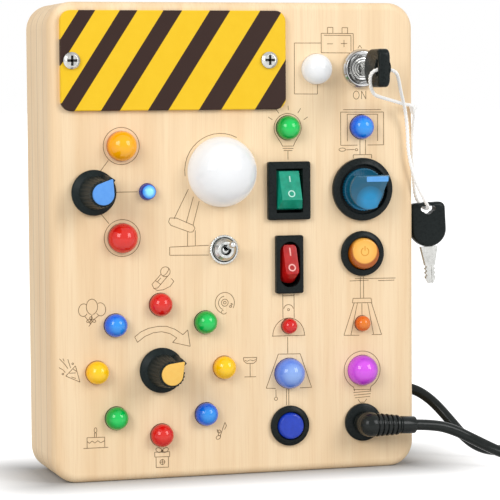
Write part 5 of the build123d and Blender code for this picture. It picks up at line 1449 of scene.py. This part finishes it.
@dataclass
class KeyString:
    """The white string: a short loop through the key's slot and the long knotted loop to the spare key."""

    radius: float = 0.7  # the string's radius
    lay: float = 4.2  # the length of one turn of its strands
    knot_place: Triple = (0.0694, -0.0212, 0.1352)  # the knot's middle, in frame metres
    knot_size: Triple = (0.34, 0.45, 0.40)  # the size of the knot's loops
    knot_r: float = 0.62  # the radius of the string pulled tight in it

    def knot(self) -> Surface:
        """A pulled-tight overhand knot: (sin t + 2 sin 2t, cos t - 2 cos 2t, -sin 3t), swept and closed.

        The sweep runs on past one turn at both ends, so that its first and last rings fit together.
        """
        t = np.linspace(-0.3, 2 * math.pi + 0.3, 118)
        shape = np.stack([np.sin(t) + 2 * np.sin(2 * t), 1.1 * np.sin(3 * t), np.cos(t) - 2 * np.cos(2 * t)],
                         axis=-1)
        path = shape * np.array(self.knot_size) * MM + np.array(self.knot_place)
        return Surface(tube(path, self.knot_r * MM, 14)[5:-6], looped=True)

    def build(self, maker: Maker) -> None:
        """Twist both lengths of string along their routes."""
        bight = Route(
            "key_string_bight",
            (46, -39.2, 143.9), (44.6, -41.6, 146.8), (45.4, -43.8, 149.6), (50, -43.9, 150.1),
            (54.4, -43.5, 149.2), (56.6, -40.2, 146.2), (58.4, -36.4, 144),
        )
        loop = Route(
            "key_string",
            (58.4, -36.4, 144), (60.2, -32.6, 141.8), (62.9, -27.6, 138.8), (65.4, -23.8, 134),
            (66.6, -22.6, 127.6), (66.8, -22.6, 119.8), (68.4, -22.4, 112.6), (70.8, -22, 106.2),
            (74, -21, 100.8), (76.8, -18.8, 97.4), (76.9, -11.2, 97.5), (74.2, -10.6, 101.4),
            (72.8, -12.6, 107.6), (71.2, -15.4, 114.4), (70.2, -17.6, 121), (69.8, -19.6, 127.6),
            (70, -21.2, 133.2), (68.4, -23.2, 136.6), (64.4, -25.4, 137), (58.4, -29, 138.4),
            (52.6, -32.6, 139.6), (47.4, -36.8, 141), (46, -39.2, 143.9),
        )
        near = maker.piece("string_bight_strands", "", STRING, Slot.STRING, bight.rope(self.radius, self.lay),
                           node="key_string_bight")
        far = maker.piece("string_strands", "", STRING, Slot.STRING, loop.rope(self.radius, self.lay),
                          self.knot(), node="key_string")
        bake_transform(near)
        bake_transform(far)


@dataclass
class LockAndKeys:
    """The lock's turned ring and core, the key in it and the spare key on the string."""

    place: Place = (49.1, 150.4)  # the lock's axis on the face
    bow_foot: float = 9.3  # from the face to the bow of the key in the lock
    bow_length: float = 16.8  # the bow's length
    bow_half: float = 7.0  # half its width
    bow_arch: float = 6.6  # the height of its round foot
    bow_corner: float = 2.3  # the radius of its outer corners
    bow_edge: float = 1.3  # the radius of its edges
    bow_thick: float = 2.3  # half its thickness
    bow_slot: float = 14.5  # from its foot to the middle of its slot
    slot_r: float = 1.2  # the radius of the slot's round ends
    slot_half: float = 1.8  # half the distance between the ends' middles
    spare_slot: Triple = (77.1, -15.0, 97.4)  # the spare key's slot, in the frame
    spare_lean: float = 3.0  # how far the spare key leans

    def bow_outline(self, inset: float) -> Points:
        """The bow's outline, across and along: a round foot, straight sides and small outer corners.

        The straight stretches stop 0.2 mm short of the round ones, and have points of their own, because
        the outline is read again at even angles.
        """
        half, top, count = self.bow_half - inset, self.bow_length - inset, 24
        foot = moved(arc(1.0, 180, 360, 60) * np.array([half, self.bow_arch - inset]), 0.0, self.bow_arch)
        corner = arc(self.bow_corner, 0, 90, 14) + np.array([half, top]) - self.bow_corner
        side = np.linspace(self.bow_arch + 0.2, top - self.bow_corner - 0.2, count)
        up_right = np.column_stack([np.full(count, half), side])
        end = half - self.bow_corner - 0.2
        ceiling = np.column_stack([np.linspace(end, -end, count), np.full(count, top)])
        mirror = np.array([-1, 1])
        return np.concatenate([
            foot, up_right, corner, ceiling, corner[::-1] * mirror, up_right[::-1] * mirror,
        ])

    def bow(self) -> Points:
        """The bow's rings: up the rounded outside, over to the slot and back down inside it.

        Each ring is x (thickness), y (across) and z (along); over the rounded edge the inset is
        r (1 - cos b) while the height is r sin b short of the flat. The slot widens by 1/8 at its lips.
        """
        middle = np.array([0.0, self.bow_slot])
        bend = np.radians(np.linspace(90, 0, 6))
        inset, fall = self.bow_edge * (1 - np.cos(bend)), self.bow_edge * (1 - np.sin(bend))
        rings = [around(self.bow_outline(step), middle, 144) for step in (*inset, *inset[::-1])]
        levels = [*(fall - self.bow_thick), *(self.bow_thick - fall[::-1])]
        end = arc(self.slot_r, -90, 90, 30) + np.array([self.slot_half, 0.0])
        slot = around(np.concatenate([end, -end]), np.zeros(2), 144)
        lip = self.bow_thick - 0.3
        for widen, level in ((1.125, self.bow_thick), (1.0, lip), (1.0, -lip), (1.125, -self.bow_thick)):
            rings.append(slot * widen + middle)
            levels.append(level)
        return np.roll(stacked(rings, levels), 1, axis=-1)

    def build(self, maker: Maker) -> None:
        """Turn the lock's metal and make both keys: one out of the lock, one hung by its slot."""
        # The dark grooves on the lock's ring and core are painted shade.
        ring = TurnedMetal("lock_ring_metal", (0.7, 0.7, 0.7), (0.52, 0.52, 0.52), 2.5, (0.1, 0.22), 0.015,
                           metal=1.0, centre=self.place, pitch=1.4, groove=(0.3, 0.3, 0.3))
        core = TurnedMetal("lock_core_metal", (0.74, 0.74, 0.73), (0.56, 0.56, 0.55), 2.0, (0.12, 0.24), 0.03,
                           metal=1.0, centre=self.place, pitch=0.9, groove=(0.12, 0.12, 0.12))
        maker.eased("lock_housing", ring, 0.2)
        maker.eased("lock_rotor", core, 0.1)
        bow = self.bow()
        held = on_face(bow + np.array([0, 0, self.bow_foot]), self.place, looped=True)
        maker.piece("key_bow_moulding", "key", BLACK, Slot.BLACK, held, node="key_bow")
        lean = math.radians(self.spare_lean)
        along = np.array([-math.sin(lean), 0.0, math.cos(lean)])
        across = np.array([-math.cos(lean), 0.0, -math.sin(lean)])
        foot = np.array(self.spare_slot) - along * self.bow_slot
        hung = Surface((foot + bow @ np.array([(0.0, 1.0, 0.0), across, along])) * MM, looped=True)
        maker.piece("spare_bow_moulding", "root", BLACK, Slot.BLACK, hung, node="spare_key_bow")
        for node in ("key_blade", "spare_key_blade"):
            maker.eased(node, STEEL, 0.1)


@dataclass
class Plug:
    """The power jack and the moulded elbow plug in it."""

    place: Place = (49.1, 17.6)  # the jack's axis on the face
    turn: float = -2.6  # how far the plug's arm turns down from the right
    axis: float = 9.0  # the arm's height over the face
    elbow_r: float = 4.5  # the radius of the arm's round start
    # the arm's radius at the jack's axis, and how much less it is for each mm along
    arm_r: Pair = (4.6, 0.085)
    grooves: int = 5  # the number of grooves
    first: float = 1.7  # where the first groove starts along the arm
    pitch: float = 1.9  # from groove to groove

    def arm(self) -> Points:
        """The tapered arm: a round elbow, cut-in grooves between rings and a plain collar at its end."""
        groove = np.array([(0.0, 0.1), (0.12, 0.65), (0.62, 0.65), (0.74, 0.14), (0.92, 0.02), (1.5, 0.12)])
        elbow = arc(self.elbow_r - 0.05, 4, 90, 12) * np.array([-1, 1])
        marks = [*elbow, (1.4, self.elbow_r)]
        for start in self.first + self.pitch * np.arange(self.grooves):
            radius = self.arm_r[0] - self.arm_r[1] * start
            marks += [(start + along, radius - inset) for along, inset in groove]
        marks += [(11.5, 3.0), (12.0, 3.0), (12.15, 3.3), (17.3, 3.2), (17.65, 3.02), (17.8, 2.7)]
        along, radius = np.array(marks).T[..., None]
        angle = round_angles(64)
        across, up = radius * np.cos(angle), radius * np.sin(angle)
        return np.stack([along + 0 * up, across, self.axis + up], axis=-1)

    def build(self, maker: Maker) -> None:
        """Ease the jack, turn the plug's hub and lay its arm across it."""
        maker.eased("dc_jack", BLACK, 0.2)
        hub = turned(*softened([(0.5, 2.3), (4.6, 2.3), (4.6, 9.6), (0.5, 11.0)], 1.6, 8), sides=72)
        shapes = [on_face(rings, self.place, self.turn) for rings in (hub, self.arm())]
        maker.piece("plug_moulding", "plug", RUBBER, Slot.CABLE, *shapes, node="dc_plug_body")


# ---------------------------------------------------------------- camera, lamps and floor
@dataclass
class Studio:
    """A white sweep with two soft boxes."""

    spot: Triple = (-249.96, -862.2, 140.87)  # the camera's place
    yaw: float = 16.86  # how far the camera looks to the right of +Y
    pitch: float = 3.72  # how far it looks down
    roll: float = -0.41  # how far it is tilted
    focal: float = 171.5  # its focal length for a sensor 36 mm wide
    # each soft box's bearing from the front to the right, and its power, in watts
    boxes: tuple[Pair, ...] = ((-48.0, 4.35), (38.0, 4.05))
    elevation: float = 24.0  # the boxes' height above the horizon
    box_size: Pair = (0.42, 0.52)  # their width and height, in metres
    aim: Triple = (0.0, 0.0, 0.09)  # the point that they face from a metre away, in metres
    sky_light: float = 0.55  # the sky's strength as light
    paper: float = 0.50  # the floor's grey
    half_sizes: Pair = (70.0, 20.0)  # half the board's width and depth
    fade: float = 0.04  # how far from the board the painted shade round it is lost in the white, in metres

    def camera(self) -> None:
        """Place the camera."""
        data = bpy.data.cameras.new("camera")
        data.lens = self.focal
        data.sensor_width = 36.0
        data.clip_start = 0.01
        data.clip_end = 20.0
        yaw, pitch, roll = (math.radians(angle) for angle in (self.yaw, self.pitch, self.roll))
        ahead = np.array([math.sin(yaw) * math.cos(pitch), math.cos(yaw) * math.cos(pitch), -math.sin(pitch)])
        level = np.array([math.cos(yaw), -math.sin(yaw), 0.0])
        above = np.cross(level, ahead)
        right = level * math.cos(roll) + above * math.sin(roll)
        up = above * math.cos(roll) - level * math.sin(roll)
        camera = added("camera", data)
        camera.matrix_world = posed(right, up, -ahead, np.array(self.spot) * MM)
        bpy.context.scene.camera = camera

    def lamp(self, name: str, azimuth: float, power: float) -> None:
        """A soft box of a power in watts, a metre from the board at a bearing."""
        data = bpy.data.lights.new(name, "AREA")
        data.shape = "RECTANGLE"
        data.size, data.size_y = self.box_size
        data.energy = power
        bearing, height = math.radians(azimuth), math.radians(self.elevation)
        right = np.array([math.cos(bearing), math.sin(bearing), 0.0])
        level = np.array([math.sin(bearing), -math.cos(bearing), 0.0]) * math.cos(height)
        back = level + np.array([0.0, 0.0, math.sin(height)])
        added(name, data).matrix_world = posed(right, np.cross(back, right), back, np.array(self.aim) + back)

    def floor(self) -> None:
        """A plain pale floor that shows the shadow near the board, with painted shade round the board, and is
        white further off.
        """
        reach = 60.0
        mesh = bpy.data.meshes.new("floor")
        corners = [(-reach, -reach, 0), (reach, -reach, 0), (reach, reach, 0), (-reach, reach, 0)]
        mesh.from_pydata(corners, [], [(0, 1, 2, 3)])
        material, graph = principled("floor_paper")
        graph.set(Base_Color=rgba((self.paper,) * 3), Roughness=1.0, Specular_IOR_Level=0.0)
        # painted shade: the white lift is none next to the board and full at the fade's distance
        off = [graph.past(axis, half) for axis, half in zip(graph.axes(), self.half_sizes)]
        lift = graph.span(graph.hypotenuse(*off), 0.0, self.fade)
        strength = graph.math("MULTIPLY", graph.shown(), lift)
        graph.set(Emission_Color=rgba((1.0, 1.0, 1.0)), Emission_Strength=strength)
        mesh.materials.append(material)
        added("floor", mesh)

    def sky(self) -> None:
        """White to the camera, in reflections and through glass, softer as light."""
        world = bpy.data.worlds.new("sky")
        bpy.context.scene.world = world
        world.use_nodes = True
        graph = Graph(world.node_tree, "Background")
        graph.set(Strength=graph.span(graph.shown(), 0.0, 1.0, self.sky_light), Color=rgba((1.0, 1.0, 1.0)))

    def build(self) -> None:
        """Place the lamps, the floor and the sky."""
        for name, box in zip(("left_box", "right_box"), self.boxes):
            self.lamp(name, *box)
        self.floor()
        self.sky()


def main() -> None:
    """Dress the frame and light it."""
    logging.basicConfig(level=logging.INFO, format="%(name)s %(message)s", stream=sys.stdout)
    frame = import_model()
    bpy.context.scene.view_settings.view_transform = "Standard"
    studio = Studio()
    studio.camera()
    # Clear orange that glows with painted light, lighter in the middle and with painted shade at the cap's
    # edge.
    orange = RoundGlow("orange_cap_tint_painted_glow", (0.9, 0.5, 0.11), (0.85, 0.42, 0.07), 1.6, (0.1, 0.2), 0.02,
                       coat=0.4, glow=0.12, ring=(0.36, 0.08, 0.002), centre=(48.8, 82.5), radius=5.9)
    parts: list[Part] = [
        Plug(), Cable(), KeyString(), PlainNodes(), Sign(), Drawings(), Lights(), LampDome(),
        Dial("three_way", (-54.0, 106.0), 57.5, BLUE_CAP, Slot.BLUE_CAP),
        Dial("eight_way", (-29.2, 40.4), 45.0, TAN_CAP, Slot.TAN_CAP),
        Toggle(),
        Rocker("green", (20.2, 105.4), GREEN_TINT, Slot.GREEN_ROCKER, WHITE_PRINT, (2.6, 2.3), (-3.2, 1.15),
               0.42),
        Rocker("red", (20.2, 78.0), RED_TINT, Slot.RED_ROCKER, PINK_PRINT, (3.0, 3.1), (-3.2, 1.2), 0.48),
        Selector(),
        PowerButton("orange", (49.1, 81.3), orange, Slot.ORANGE_CLEAR, [
            (0.5, -16.6), (1.5, -16.6), (1.5, -4.5), (5.85, -4.5), (5.85, 2.9), (5.5, 4.0), (5.2, 4.6),
            (0.5, 4.6),
        ], 2.5),
        PushButton("blue", (20.2, 17.6), BLUE_PUSH, Slot.BLUE_PUSH, [
            (0.5, -14.6), (1.5, -14.6), (1.5, -4.0), (4.95, -4.0), (4.95, 2.2), (4.4, 3.4), (0.5, 3.4),
        ], 2.0),
        LockAndKeys(),
    ]
    maker = Maker(frame)
    for part in parts:
        part.build(maker)
    studio.build()


if __name__ == "__main__":
    main()
